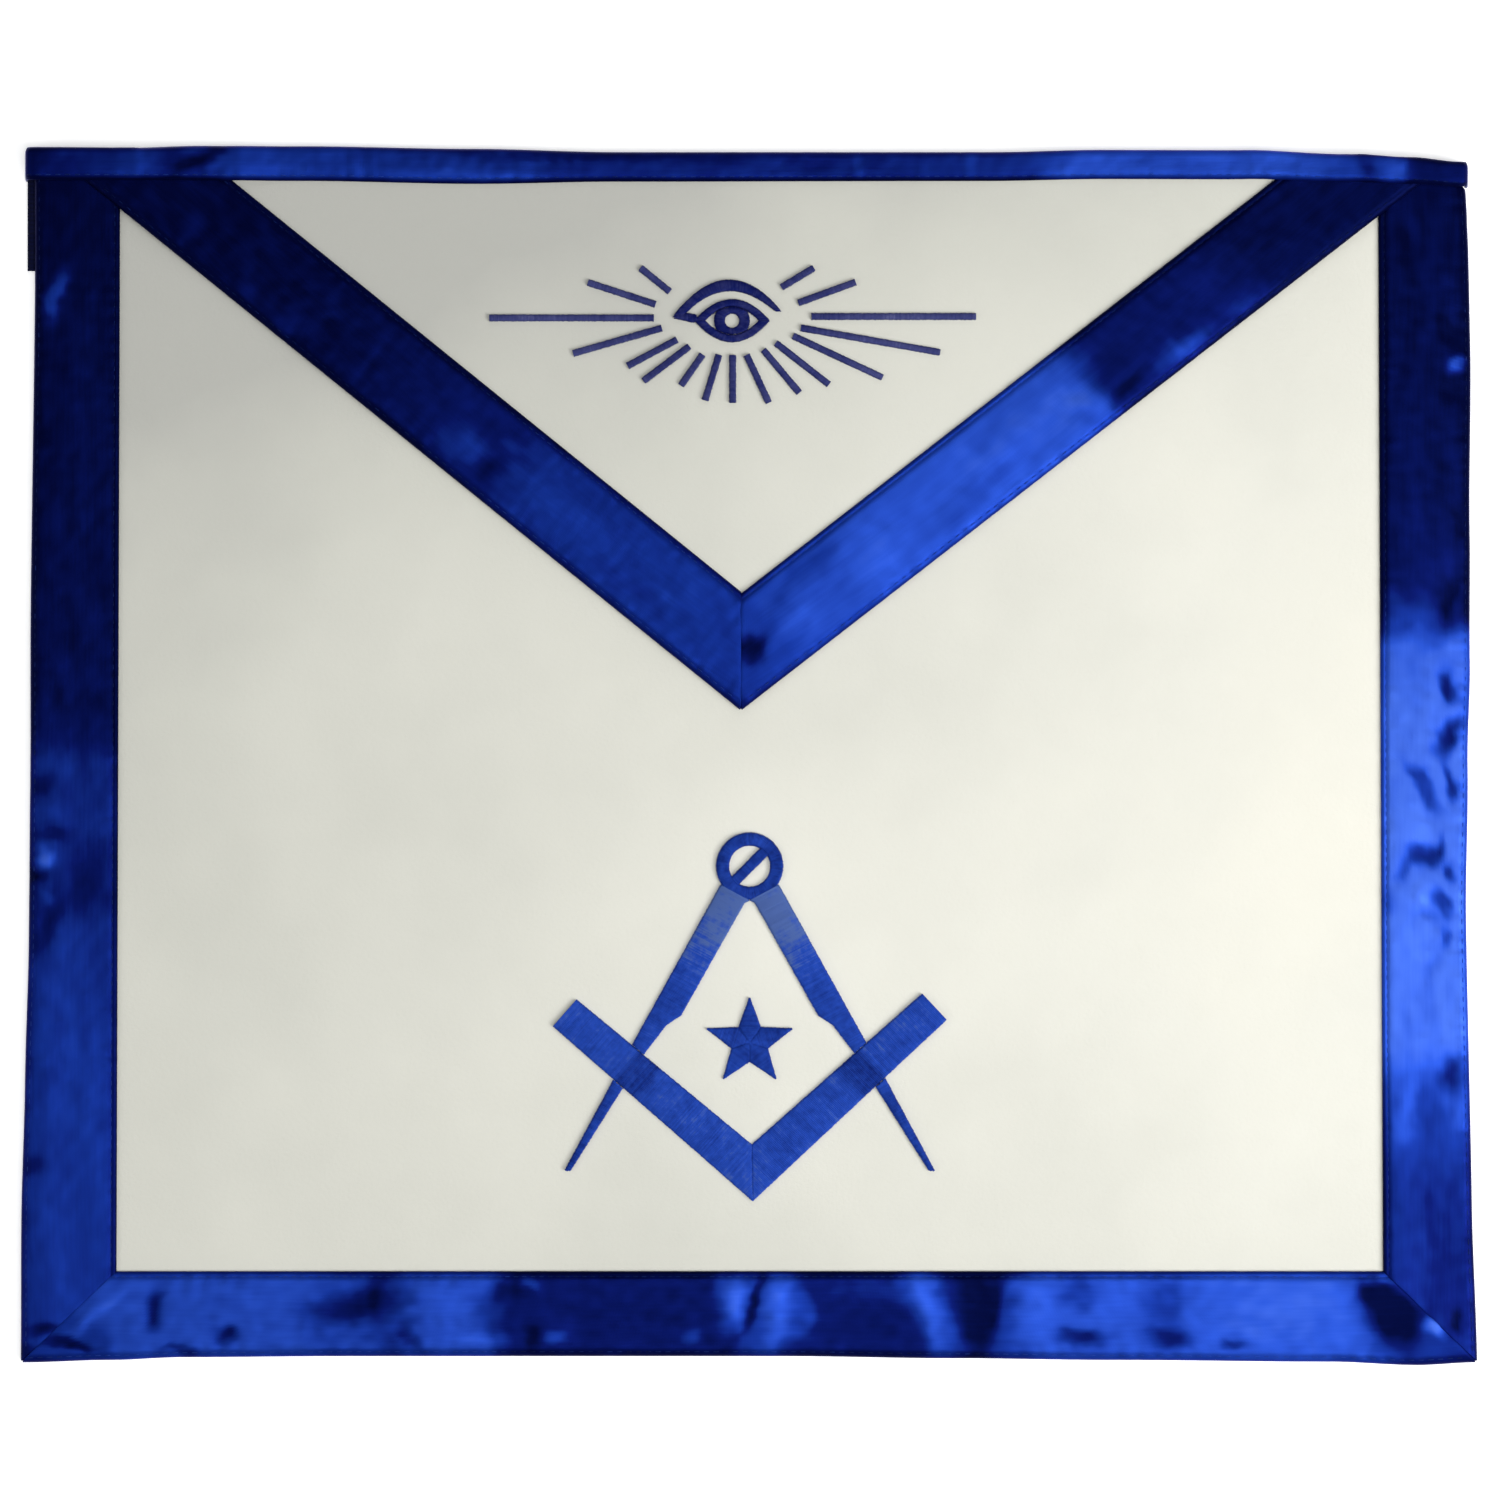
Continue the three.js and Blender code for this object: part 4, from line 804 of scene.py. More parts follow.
def leatherette():
    """White leatherette: a fine pebbled grain, faint mottling, and painted shade that makes it greyer
    towards its top left.

    Its painted shade, standing in for the light's falloff, is 0.48 + 1.2x − 0.8y − 11y² + 6xy in metres,
    with a stain added.
    """
    made, tree, shader = new_material("white_leatherette", Specular_IOR_Level=0.4)
    where = object_place(tree)
    x, y, _ = node(tree, "SeparateXYZ", {0: where}).outputs
    y_squared, x_times_y = math_node(tree, "MULTIPLY", y, y), math_node(tree, "MULTIPLY", x, y)
    # Painted shade for the light's falloff across the panels.
    shade = 0.48
    for part, weight in ((x, 1.2), (y, -0.8), (y_squared, -11.0), (x_times_y, 6.0)):
        shade = math_node(tree, "MULTIPLY_ADD", part, weight, shade)
    shade = math_node(tree, "ADD", shade, mottle(tree, where, 9.0, -0.12, 0.12))
    tree.links.new(ramp(tree, shade, [
        (0.0, ink(178, 178, 171)), (0.25, ink(199, 199, 189)), (0.6, ink(220, 219, 208)),
        (1.0, ink(231, 228, 214)),
    ]), shader["Base Color"])
    cell = node(tree, "TexVoronoi", {"Vector": where, "Scale": 900.0}, feature="SMOOTH_F1")
    grain = math_node(tree, "ADD", cell.outputs["Distance"], mottle(tree, where, 2600.0, 0.0, 0.4))
    tree.links.new(bump(tree, grain, 0.00008, 0.6), shader["Normal"])
    tree.links.new(mottle(tree, where, 120.0, 0.5, 0.66), shader["Roughness"])
    return made


def thread(name, dark, light, pale, wear):
    """Sewing or embroidery thread: each strand a little lighter or darker, with a soft gloss."""
    made, tree, shader = new_material(
        name, Metallic=0.2, Specular_IOR_Level=0.25, Specular_Tint=ink(110, 150, 255),
    )
    shade = node(tree, "Attribute", attribute_name="shade").outputs["Fac"]
    where = object_place(tree)
    for scale in (160.0, 620.0):
        shade = math_node(tree, "ADD", shade, mottle(tree, where, scale, -wear, wear))
    # Shades past 0.7 blend towards the pale colour, which is a painted highlight.
    tree.links.new(ramp(tree, shade, [(0.0, dark), (0.7, light), (1.0, pale)]), shader["Base Color"])
    tree.links.new(bump(tree, mottle(tree, where, 5200.0, 0.0, 1.0), 0.00003, 0.6), shader["Normal"])
    tree.links.new(mottle(tree, where, 300.0, 0.38, 0.52), shader["Roughness"])
    return made


def webbing():
    """Navy webbing: coarse crossing yarns, painted darker in the hollows between them as shade, with
    flecks.
    """
    made, tree, shader = new_material("navy_webbing", Specular_IOR_Level=0.12)
    yarns = weave(tree, 800, 600, 0.5)
    fleck = math_node(tree, "MULTIPLY", yarns["Fleck"], 0.4)
    # Painted shade: darker where the weave is low, between the yarns.
    shade = math_node(tree, "MULTIPLY_ADD", yarns["Height"], 0.6, fleck)
    tree.links.new(ramp(tree, shade, [(0.2, ink(1, 3, 28)), (1.0, ink(5, 11, 56))]), shader["Base Color"])
    tree.links.new(mottle(tree, object_place(tree), 200.0, 0.65, 0.85), shader["Roughness"])
    tree.links.new(bump(tree, yarns["Height"], 0.0002, 0.8), shader["Normal"])
    return made


SATIN = satin()
LEATHERETTE = leatherette()
# Its pale colour is a painted highlight, reached on the compass legs near the joint.
EMBROIDERY = thread(
    "blue_embroidery_thread", ink(13, 34, 112), ink(38, 75, 178), ink(80, 105, 166), 0.15,
)
DARK_EMBROIDERY = thread(
    "navy_embroidery_thread", ink(14, 20, 84), ink(70, 73, 122), ink(104, 106, 146), 0.12,
)
SEWING = thread("blue_sewing_thread", ink(3, 7, 46), ink(40, 76, 186), ink(60, 92, 190), 0.06)
WEBBING = webbing()


# The borders, the binding and the flap's ribbons

def filled_out(y, pressed_to):
    """The satin lies flat where the flap or the binding presses on it, and fills out below."""
    return ease(pressed_to - y, PRESSED / 4, PRESSED)


SIDE_TABLES = {
    "left": (LEFT_BOWS, LEFT_FOLDS, LEFT_TONES, 10),
    "right": (RIGHT_BOWS, RIGHT_FOLDS, RIGHT_TONES, 20),
}
FLAP_TABLES = {
    "left": (FLAP_LEFT_FOLDS, FLAP_LEFT_TONES, 40),
    "right": (FLAP_RIGHT_FOLDS, FLAP_RIGHT_TONES, 50),
}


def everywhere(value):
    """A function of a place, or of a share, that gives one value everywhere."""
    return lambda where, *_: value + 0 * where


def side_border(side):
    outer_x = WAIST_CORNER[side]
    up = np.array([0, MITRE_CUT])
    bows, folds, tones, seed = SIDE_TABLES[side]
    return Ribbon(
        outer=[(outer_x, pocket_y(outer_x)), HEM_CORNER[side] + up],
        inner=[(SIGHT[side], pocket_y(SIGHT[side])), SIGHT_CORNER[side] + up],
        widths=(AT_WAIST[side], AT_HEM[side]), bows=bows, folds=folds, tones=tones,
        level=BORDER_LEVEL, base=everywhere(0), calm=lambda x, y: filled_out(y, FLAP_LEAVES),
        seed=seed,
    )


def belt_top(side):
    return pocket_y(WAIST_CORNER[side]) + POCKET_EASE - BELT_DROP[side]


def turned_back_from(side, ribbon):
    """The turned-back leg starts under the belt's end: 0 above it, 1 below."""
    start = (ribbon.outer[0, 1] - belt_top(side) + BELT_WIDTH + BACK_CLEARANCE) / ribbon.length
    return lambda along: ease(along, start, start + BACK_TURN / ribbon.length)


BORDERS = {side: side_border(side) for side in ("left", "right")}
trim = np.array([MITRE_CUT, 0])
BORDERS["bottom"] = Ribbon(
    outer=[HEM_CORNER["left"] + trim, HEM_CORNER["right"] - trim],
    inner=[SIGHT_CORNER["left"] + trim, SIGHT_CORNER["right"] - trim],
    widths=(HEM_RIBBON, HEM_RIBBON), bows=HEM_BOWS, folds=HEM_FOLDS, tones=HEM_TONES,
    level=BORDER_LEVEL, base=everywhere(0), calm=everywhere(1), seed=30,
)


def flap_ribbon(side):
    trim = np.array([-MITRE_CUT if side == "left" else MITRE_CUT, 0])
    folded, sewn = flap_edge(side, 0), flap_edge(side, FLAP_RIBBON)
    folds, tones, seed = FLAP_TABLES[side]
    return Ribbon(
        outer=[flap_pocket_point(folded), flap_mitre_point(folded) + trim],
        inner=[flap_pocket_point(sewn), flap_mitre_point(sewn) + trim],
        widths=(FLAP_RIBBON, FLAP_RIBBON), bows=STRAIGHT, folds=folds, tones=tones,
        level=FLAP_STEP + WALL / 2, base=lambda x, y: flap_bottom(x),
        calm=lambda x, y: filled_out(y, HALF - BINDING), seed=seed,
    )


FLAP_RIBBONS = {side: flap_ribbon(side) for side in ("left", "right")}
BINDING_LEFT = WAIST_LEFT - BINDING_OVERHANG
BINDING_RIGHT = WAIST_RIGHT + BINDING_OVERHANG


def binding_under(x):
    """What lies under the binding: the flap, and near its corners the flap's ribbon too."""
    lower = binding_lower_y(x)

    def inner_x(side):
        start, along = flap_edge(side, FLAP_RIBBON)
        return start[0] + along[0] * (lower - start[1]) / along[1]

    past = np.minimum(x - inner_x("left"), inner_x("right") - x)
    over_ribbon = 1 - ease(past, BINDING_MARGIN, SETTLE / 2)
    return flap_bottom(x) + WALL + GAP + (WALL + GAP) * over_ribbon


def binding_x(along):
    return BINDING_LEFT + (BINDING_RIGHT - BINDING_LEFT) * along


class Binding(Ribbon):
    """The satin strip folded over the waist edge, its two edges given by the waist's tables."""

    def width(self, along):
        x = binding_x(along)
        return waist_y(x) - binding_lower_y(x)

    def plan(self, along, share):
        x = binding_x(along)
        return np.stack([x, waist_y(x) + (binding_lower_y(x) - waist_y(x)) * share], -1)


def binding_base(x, y):
    """The binding's height, rounding off down to the body at its two tucked ends."""
    off = np.clip(np.minimum(x - BINDING_LEFT, BINDING_RIGHT - x) / BINDING_ROUND, 0, 1)
    return BODY_LEVEL + (binding_under(x) - BODY_LEVEL) * np.sqrt(1 - (1 - off) ** 2)


WAIST_BINDING = Binding(
    outer=[(BINDING_LEFT, HALF), (BINDING_RIGHT, HALF)],
    inner=[(BINDING_LEFT, HALF - BINDING), (BINDING_RIGHT, HALF - BINDING)],
    widths=(BINDING, BINDING), bows=STRAIGHT, folds=BINDING_FOLDS, tones=BINDING_TONES,
    level=WALL / 2, base=binding_base, calm=everywhere(1), seed=60,
)


def binding_back(along):
    """1 where the binding's turned-back leg runs, between the two belt ends."""
    x = binding_x(along)
    left = WAIST_LEFT - BELT_PEEK + BELT_LENGTH + BELT_SIDE_GAP
    right = WAIST_RIGHT + BELT_PEEK - BELT_LENGTH - BELT_SIDE_GAP
    return ease(x, left, left + BINDING_TURN) * ease(-x, -right, -right + BINDING_TURN)


def flap_lip(ribbon):
    return lambda along: flap_bottom(ribbon.plan(along, 0 * along)[..., 0]) + FLAP_LIP


border_pieces = []
for side, ribbon in BORDERS.items():
    lying = everywhere(1) if side == "bottom" else turned_back_from(side, ribbon)
    ends = ("start", "end") if side == "bottom" else ("end",)
    border_pieces.append(folded_ribbon(
        f"satin_border_{side}", ribbon, TURN_BACK, lying, everywhere(BORDER_LIP), ends,
    ))
    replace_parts(border_pieces[-1], f"border_{side}")

flap_ribbon_pieces = []
for side, ribbon in FLAP_RIBBONS.items():
    flap_ribbon_pieces.append(folded_ribbon(
        f"satin_flap_ribbon_{side}", ribbon, TURN_BACK, everywhere(0), flap_lip(ribbon), ("end",),
    ))
    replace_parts(flap_ribbon_pieces[-1], f"flap_ribbon_{side}")

binding_piece = folded_ribbon(
    "satin_waist_binding", WAIST_BINDING, BINDING_BACK, binding_back, everywhere(BINDING_LIP),
)
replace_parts(binding_piece, "waist_binding")


# The two panels and the belt ends

BODY_GRID, FLAP_GRID, BELT_GRID = (131, 161), (91, 141), (41, 141)
BODY_WAVES = (0.22, 0.06)
FLAP_WAVE = 0.12


def body_panel():
    """The white body: between the side folds and from the waist fold to the hem, with faint waves.

    x = lerp(left edge, right edge, u) and y = lerp(top, bottom, v).
    """
    inset = WALL + GAP
    down, over = shares(*BODY_GRID)
    left, right = (
        BORDERS[side].plan(down, inset / BORDERS[side].width(down))[..., 0] for side in ("left", "right")
    )
    x = left + (right - left) * over
    hem_share = (x + HEM_WIDTH / 2) / HEM_WIDTH
    bottom = -HALF - HEM_RIBBON * read_table(HEM_BOWS, np.clip(hem_share, 0, 1)) + inset
    top = pocket_y(x) - GAP
    y = top + (bottom - top) * down
    inside = ease(down, 0.02, 0.2) * ease(1 - down, 0.05, 0.2)
    inside = np.minimum(inside, ease(np.minimum(over, 1 - over), 0.05, 0.2))
    wave = BODY_WAVES[0] * waves(x, y, 120, 71, 5) + BODY_WAVES[1] * waves(x, y, 38, 72, 6)
    middle = np.stack([x, y, BODY_LEVEL + inside * wave], -1)
    wall = thinned(BODY_WALL, from_rim(down, over, APRON_HEIGHT, HEM_WIDTH), BODY_WALL / 2)
    return closed_cloth("leatherette_body", middle, wall, LEATHERETTE, middle[..., :2])


def flap_panel():
    """The white flap: its width shrinks from the waist fold down to its blunt tip."""
    inset = WALL + GAP
    edges = {side: flap_edge(side, inset) for side in ("left", "right")}
    top = {side: flap_pocket_point(edge) for side, edge in edges.items()}
    slope = sum(abs(along[0] / along[1]) for _, along in edges.values())
    tip_y = flap_mitre_point(edges["left"])[1] + FLAP_TIP_FLAT / slope
    tip = {side: meet(*edge, (0, tip_y), (1, 0)) for side, edge in edges.items()}
    down, over = shares(*FLAP_GRID)
    top_x = top["left"][0] + (top["right"][0] - top["left"][0]) * over
    tip_x = tip["left"][0] + (tip["right"][0] - tip["left"][0]) * over
    x = top_x + (tip_x - top_x) * down
    y = pocket_y(top_x) + (tip_y - pocket_y(top_x)) * down
    inside = ease(down, 0.1, 0.3) * ease(np.minimum(over, 1 - over), 0.15, 0.3) * ease(1 - down, 0.15, 0.4)
    z = flap_bottom(x) + WALL / 2 + inside * FLAP_WAVE * (1 + waves(x, y, 90, 81, 5))
    width = (top_x[0, -1] - top_x[0, 0]) * (1.02 - down)
    edge = np.minimum(down * FLAP_DEPTH, np.minimum(over, 1 - over) * width)
    middle = np.stack([x, y, z], -1)
    return closed_cloth(
        "leatherette_flap", middle, thinned(WALL, edge + 0.05, WALL / 2), LEATHERETTE, middle[..., :2],
    )


def belt_end(side):
    """A ribbed end of webbing: z = rib·cos(2πx/pitch)·cos(2πy/pitch), with rounded edges."""
    outer = WAIST_LEFT - BELT_PEEK if side == "left" else WAIST_RIGHT + BELT_PEEK
    inner = outer + (BELT_LENGTH if side == "left" else -BELT_LENGTH)
    inward, down = shares(*BELT_GRID)
    x = outer + (inner - outer) * inward
    y = belt_top(side) - BELT_WIDTH * down
    ribs = [np.cos(2 * math.pi * place / pitch) for place, pitch in zip((x, y), BELT_RIB_PITCH)]
    middle = np.stack([x, y, WALL / 2 + BELT_RIB * ribs[1] * ribs[0]], -1)
    wall = thinned(BELT_WALL, from_rim(inward, down, BELT_LENGTH, BELT_WIDTH), 0.5)
    piece = closed_cloth(f"webbing_end_{side}", middle, wall, WEBBING, middle[..., 1::-1])
    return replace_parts(piece, f"belt_end_{side}")


body = body_panel()
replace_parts(body, "body_panel")
flap = flap_panel()
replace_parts(flap, "flap_panel")
belts = [belt_end(side) for side in ("left", "right")]


# Threads

THREAD_SIDES = 5
THREAD_VARIES = 0.1
THREAD_END = 0.55  # size of a thread's end, as a share of its middle


def threads(name, paths, half, material, shade, seed):
    """Threads along paths (threads, points, xyz): an ellipse carried along each, drawn in at its ends.

    A point is path + size·(half width·cos t·side + half height·sin t·up), and each thread's size
    varies.
    """
    count, rings = paths.shape[:2]
    run = paths[:, -1, :2] - paths[:, 0, :2]
    run = run / np.linalg.norm(run, axis=1, keepdims=True)
    side = np.stack([-run[:, 1], run[:, 0], 0 * run[:, 0]], -1)[:, None, None, :]
    turn = np.linspace(0, 2 * math.pi, THREAD_SIDES, endpoint=False)[None, None, :, None]
    pick = np.random.default_rng(seed)
    size = pick.uniform(1 - THREAD_VARIES, 1 + THREAD_VARIES, (count, 1, 1, 1)) * np.ones((1, rings, 1, 1))
    size[:, [0, -1]] *= THREAD_END
    up = np.array([0, 0, 1.0])
    points = paths[:, :, None, :] + size * (half[0] * np.cos(turn) * side + half[1] * np.sin(turn) * up)
    index = np.arange(count * rings * THREAD_SIDES).reshape(count, rings, THREAD_SIDES)
    after = np.roll(index, -1, 2)
    quads = np.stack([index[:, :-1], after[:, :-1], after[:, 1:], index[:, 1:]], -1).reshape(-1, 4)
    caps = np.concatenate([index[:, 0, ::-1], index[:, -1]])
    shades = np.repeat(shade, rings * THREAD_SIDES)
    return put_mesh(name, points.reshape(-1, 3), quads.tolist() + caps.tolist(), material, shade=shades)


# Embroidery

PAD = 0.5
PAD_TOP = BODY_TOP + GAP + PAD
THREAD_STEP = 0.36
THREAD_HALF = (0.215, 0.17)
THREAD_LOW = 0.95  # how far below the pad's top a thread's ends lie
THREAD_CROWN = 0.05  # how high a thread 1 mm long crowns over the pad
THREAD_SHADE = 0.1  # how much lighter or darker one thread is than the next
SHORTEST = 0.15
THREAD_PAST = 0.22  # a thread enters the cloth this far past its pad


def hatch(outline, heading):
    """Thread ends across an outline: lines at right angles to a heading, cut where they cross it."""
    ahead = np.array([math.cos(heading), math.sin(heading)])
    beside = np.array([-ahead[1], ahead[0]])
    corners = np.array(outline, float)
    a, b = corners @ ahead, corners @ beside
    lines = np.arange(a.min() + THREAD_STEP / 2, a.max(), THREAD_STEP)[:, None]
    next_a, next_b = np.roll(a, -1), np.roll(b, -1)
    crosses = (a <= lines) != (next_a <= lines)
    with np.errstate(divide="ignore", invalid="ignore"):
        met = np.where(crosses, b + (lines - a) / (next_a - a) * (next_b - b), np.inf)
        met = np.sort(met, axis=1)
        met = met[:, : met.shape[1] // 2 * 2].reshape(len(lines), -1, 2)
        line, pair = np.nonzero(np.isfinite(met[..., 1]) & (met[..., 1] - met[..., 0] > SHORTEST))
    ends = met[line, pair]
    start = lines[line] * ahead + ends[:, :1] * beside
    return np.stack([start, start + (ends[:, 1:] - ends[:, :1]) * beside], 1)


def between(first, second):
    """Thread ends from one rail of points to another."""
    return np.stack([first, second], 1)


def satin_stitch(name, ends, middle, base, material, shade, seed):
    """Threads laid side by side over a pad: each rises steeply, crowns a little and goes down again.

    The shade is given for each thread's middle, and varies a little from thread to thread.
    """
    ends = np.concatenate(ends) + np.array(middle)
    pick = np.random.default_rng(seed)
    shades = shade(ends.mean(1)) + pick.uniform(-THREAD_SHADE, THREAD_SHADE, len(ends))
    run = ends[:, 1] - ends[:, 0]
    length = np.linalg.norm(run, axis=1, keepdims=True)
    ahead = run / length
    past = THREAD_PAST + pick.uniform(-0.07, 0.07, (len(ends), 1))
    start, length = ends[:, 0] - ahead * past, length + 2 * past
    near, far = np.minimum(0.12 * length, 0.25), np.minimum(0.3 * length, 0.8)
    run = np.concatenate([0 * length, near, far, length / 2, length - far, length - near, length], 1)
    crown = THREAD_CROWN * np.sqrt(length)
    lift = np.concatenate([0 * length - THREAD_LOW, 0 * length - 0.02, crown * 0.7, crown], 1)
    lift = np.concatenate([lift, lift[:, 2::-1]], 1) + pick.uniform(-0.03, 0.03, (len(ends), 1))
    place = start[:, None] + ahead[:, None] * run[..., None]
    paths = np.concatenate([place, (base + 0.1 + lift)[..., None]], -1)
    return threads(name, paths, THREAD_HALF, material, shades, seed + 1)


def bearing(degrees):
    return np.array([math.cos(math.radians(degrees)), math.sin(math.radians(degrees))])


ARM = {"left": bearing(180 - SQUARE_ANGLE["left"]), "right": bearing(SQUARE_ANGLE["right"])}
INWARD = {
    "left": np.array([ARM["left"][1], -ARM["left"][0]]),
    "right": np.array([-ARM["right"][1], ARM["right"][0]]),
}


def arm_inner(side):
    """An arm's inner edge: its start beside the vertex and its end."""
    start = INWARD[side] * SQUARE_WIDTH[0]
    return start, ARM[side] * SQUARE_ARM + INWARD[side] * SQUARE_WIDTH[1]


def square_threads():
    """Two arms that meet at the vertex, each hatched across its own direction."""
    (left, left_end), (right, right_end) = arm_inner("left"), arm_inner("right")
    inner = meet(left, left_end - left, right, right_end - right)
    ends = []
    for side, end in (("left", left_end), ("right", right_end)):
        outline = [(0, 0), inner, end, ARM[side] * SQUARE_ARM]
        ends.append(hatch(outline, math.atan2(ARM[side][1], ARM[side][0])))
    return ends


SQUARE_FROM_JOINT = np.array(SQUARE_VERTEX) - np.array(COMPASS)


def leg_point(down, out):
    return np.array([out * LEG_SPREAD, -down * LEG_DROP])


def compass_threads(side):
    """A leg from the joint to the square, and its point past the square, hatched across."""
    flip = np.array([-1, 1]) if side == "left" else np.array([1, 1])
    tip = np.array([LEG_SPREAD, -LEG_DROP])
    outer = leg_point(*LEG_OUTER_START)
    start, end = arm_inner(side)
    upper = flip * (start + SQUARE_FROM_JOINT + INWARD[side] * GAP), flip * (end - start)
    lower = flip * (SQUARE_FROM_JOINT - INWARD[side] * GAP), flip * ARM[side]
    rows = [leg_point(*row) for row in LEG_ROWS]
    reach = JOINT[0] + GAP
    tip_inner = tip - np.array([POINT_WIDTH, 0])
    leg = [
        outer * reach / np.linalg.norm(outer), meet(outer, tip - outer, *upper),
        meet(rows[-2], rows[-1] - rows[-2], *upper), rows[2], rows[1], rows[0], (GAP / 2, -reach),
    ]
    point = [
        meet(outer, tip - outer, *lower), tip, tip_inner, meet(rows[-1], tip_inner - rows[-1], *lower),
    ]
    run = (tip - outer) * flip
    heading = math.atan2(run[1], run[0])
    return [hatch(np.array(shape) * flip, heading) for shape in (leg, point)]


def joint_threads():
    """A ring of threads from its inner to its outer circle, and a bar across its hole."""
    outer, inner = JOINT
    turn = np.arange(0, 2 * math.pi, THREAD_STEP * 2 / (outer + inner))
    circle = np.stack([np.cos(turn), np.sin(turn)], -1)
    ahead, side = bearing(JOINT_BAR_TURN) * inner, bearing(JOINT_BAR_TURN + 90) * JOINT_BAR / 2
    bar = [-ahead - side, ahead - side, ahead + side, -ahead + side]
    return [between(circle * inner, circle * outer), hatch(bar, math.radians(JOINT_BAR_TURN))]


def star_threads():
    """A kite for each tip, hatched across its own direction."""
    ends = []
    half = 180 / STAR_TIPS
    for tip in range(STAR_TIPS):
        middle = 90 + 2 * half * tip
        low, high = (bearing(middle + turn) * STAR_RADIUS * STAR_WAIST for turn in (-half, half))
        ends.append(hatch([(0, 0), low, bearing(middle) * STAR_RADIUS, high], math.radians(middle)))
    return ends


def eye_threads():
    """The almond's outline, the iris's ring cut off by it, and the lid above them with its tail.

    The almond is x = w(2s − 1), y = ±4hs(1 − s); the lid's edges are quadratic curves.
    """
    half_width, half_high = EYE_SIZE[0] / 2, EYE_SIZE[1] / 2
    inner_width, inner_high = half_width - EYE_LINE[0], half_high - EYE_LINE[1]
    s = np.linspace(0.01, 0.99, 66)
    across, up = 2 * s - 1, 4 * s * (1 - s)
    ends = [
        between(
            np.stack([half_width * across, sign * half_high * up], -1),
            np.stack([inner_width * across, sign * inner_high * up], -1),
        )
        for sign in (-1, 1)
    ]
    turn = np.arange(0, 2 * math.pi, THREAD_STEP / IRIS_MIDDLE)
    ring = np.stack([np.cos(turn), np.sin(turn)], -1)
    iris = ring * IRIS[0]
    limit = inner_high * (1 - (iris[:, 0] / inner_width) ** 2) - GAP
    iris[:, 1] = np.clip(iris[:, 1], -limit, limit)
    ends.append(between(ring * IRIS[1], iris))
    left = np.array([-LID_WIDTH * LID_LEFT_SHARE, LID_ENDS[0]])
    right = np.array([LID_WIDTH * (1 - LID_LEFT_SHARE), LID_ENDS[1]])
    level = sum(LID_ENDS) / 2
    middle = (left[0] + right[0]) / 2
    s = np.linspace(0, 1, 110)[:, None]

    def curve(first, top, last):
        return (1 - s) ** 2 * first + 2 * s * (1 - s) * np.array([middle, 2 * top - level]) + s * s * last

    ends.append(hatch(LID_TAIL, 0))
    lower_left = left + np.array([LID_LINE, LID_LINE / 5])
    lower_right = right - np.array([LID_LINE / 2, 0])
    rails = curve(left, LID_RISE, right), curve(lower_left, LID_RISE - LID_LINE, lower_right)
    ends.append(between(*rails)[2:-2])
    return ends


def ray_threads():
    """Each ray is a plain bar, hatched across its heading."""
    ends = []
    for start_bearing, start, heading, length in RAYS:
        start = bearing(start_bearing) * start * RAY_RING
        ahead, side = bearing(heading), bearing(heading + 90) * RAY_WIDTH / 2
        end = start + ahead * length * RAY_LENGTH
        ends.append(hatch([start - side, end - side, end + side, start + side], math.radians(heading)))
    return ends


def even(shade):
    """One shade for all of a piece's threads."""
    return lambda place: shade + 0 * place[:, 0]


def from_joint(place):
    """How far out to either side and down from the compasses' joint."""
    return np.abs(place[:, 0] - COMPASS[0]), COMPASS[1] - place[:, 1]


def ray_shade(place):
    """Paler away from the eye."""
    return 0.35 + 0.29 * ease(np.linalg.norm(place - np.array(EYE), axis=1), 18, 50)


def leg_shade(place):
    """Paler near the joint, down to a slanted line, as a painted highlight of the stitches' sheen, and
    darker on the slim points.
    """
    out, down = from_joint(place)
    return 0.5 + 0.56 * (1 - ease(down - 0.6 * out, 7, 27)) - 0.2 * ease(down, 62, 70)


def square_shade(place):
    """Darker where each arm crosses a compass leg, inside the line from the joint to the leg's tip."""
    out, down = from_joint(place)
    inside = (down * LEG_SPREAD - out * LEG_DROP) / math.hypot(LEG_SPREAD, LEG_DROP)
    return 0.6 - 0.44 * ease(inside, -1.5, 0.5) * (1 - ease(inside, 6, 9))


FLAP_PAD_TOP = float(flap_bottom(np.array(EYE[0]))) + WALL + GAP + PAD
STAR = (COMPASS[0], COMPASS[1] - STAR_DROP)
on_body = [
    satin_stitch(f"{name}_threads", ends, middle, PAD_TOP, EMBROIDERY, shade, seed)
    for name, ends, middle, shade, seed in (
        ("square", square_threads(), SQUARE_VERTEX, square_shade, 101),
        ("compass_left", compass_threads("left"), COMPASS, leg_shade, 103),
        ("compass_right", compass_threads("right"), COMPASS, leg_shade, 105),
        ("compass_joint", joint_threads(), COMPASS, even(0.28), 107),
        ("star", star_threads(), STAR, even(0.35), 109),
    )
]
on_flap = [
    satin_stitch(f"{name}_threads", ends, EYE, FLAP_PAD_TOP, DARK_EMBROIDERY, shade, seed)
    for name, ends, shade, seed in (
        ("eye", eye_threads(), even(0.08), 111), ("ray", ray_threads(), ray_shade, 113),
    )
]


# Seams

SEAM_PITCH = 2.8
SEAM_STITCH = 2.1
SEAM_HALF = (0.15, 0.13)
SEAM_SINK = 0.16
SEAM_LIFT = 0.02  # a stitch's middle stands this far off the cloth
BINDING_SEAM = 0.86


def seam(name, lines, seed):
    """Lockstitches along lines, each given as a function of share, a length and a shade.

    A stitch sinks by sink·t⁴ with t from −1 to 1 along it.
    """
    paths, shades = [], []
    for surface, length, shade in lines:
        count = int(length / SEAM_PITCH)
        first = np.arange(count)[:, None] * SEAM_PITCH / length
        share = first + np.linspace(0.1, 0.1 + SEAM_STITCH / SEAM_PITCH, 5) * SEAM_PITCH / length
        path = surface(share)
        path[..., 2] -= SEAM_SINK * np.linspace(-1, 1, 5) ** 4
        paths.append(path)
        shades.append(shade(share[:, 2]))
    return threads(name, np.concatenate(paths), SEAM_HALF, SEWING, np.concatenate(shades), seed)


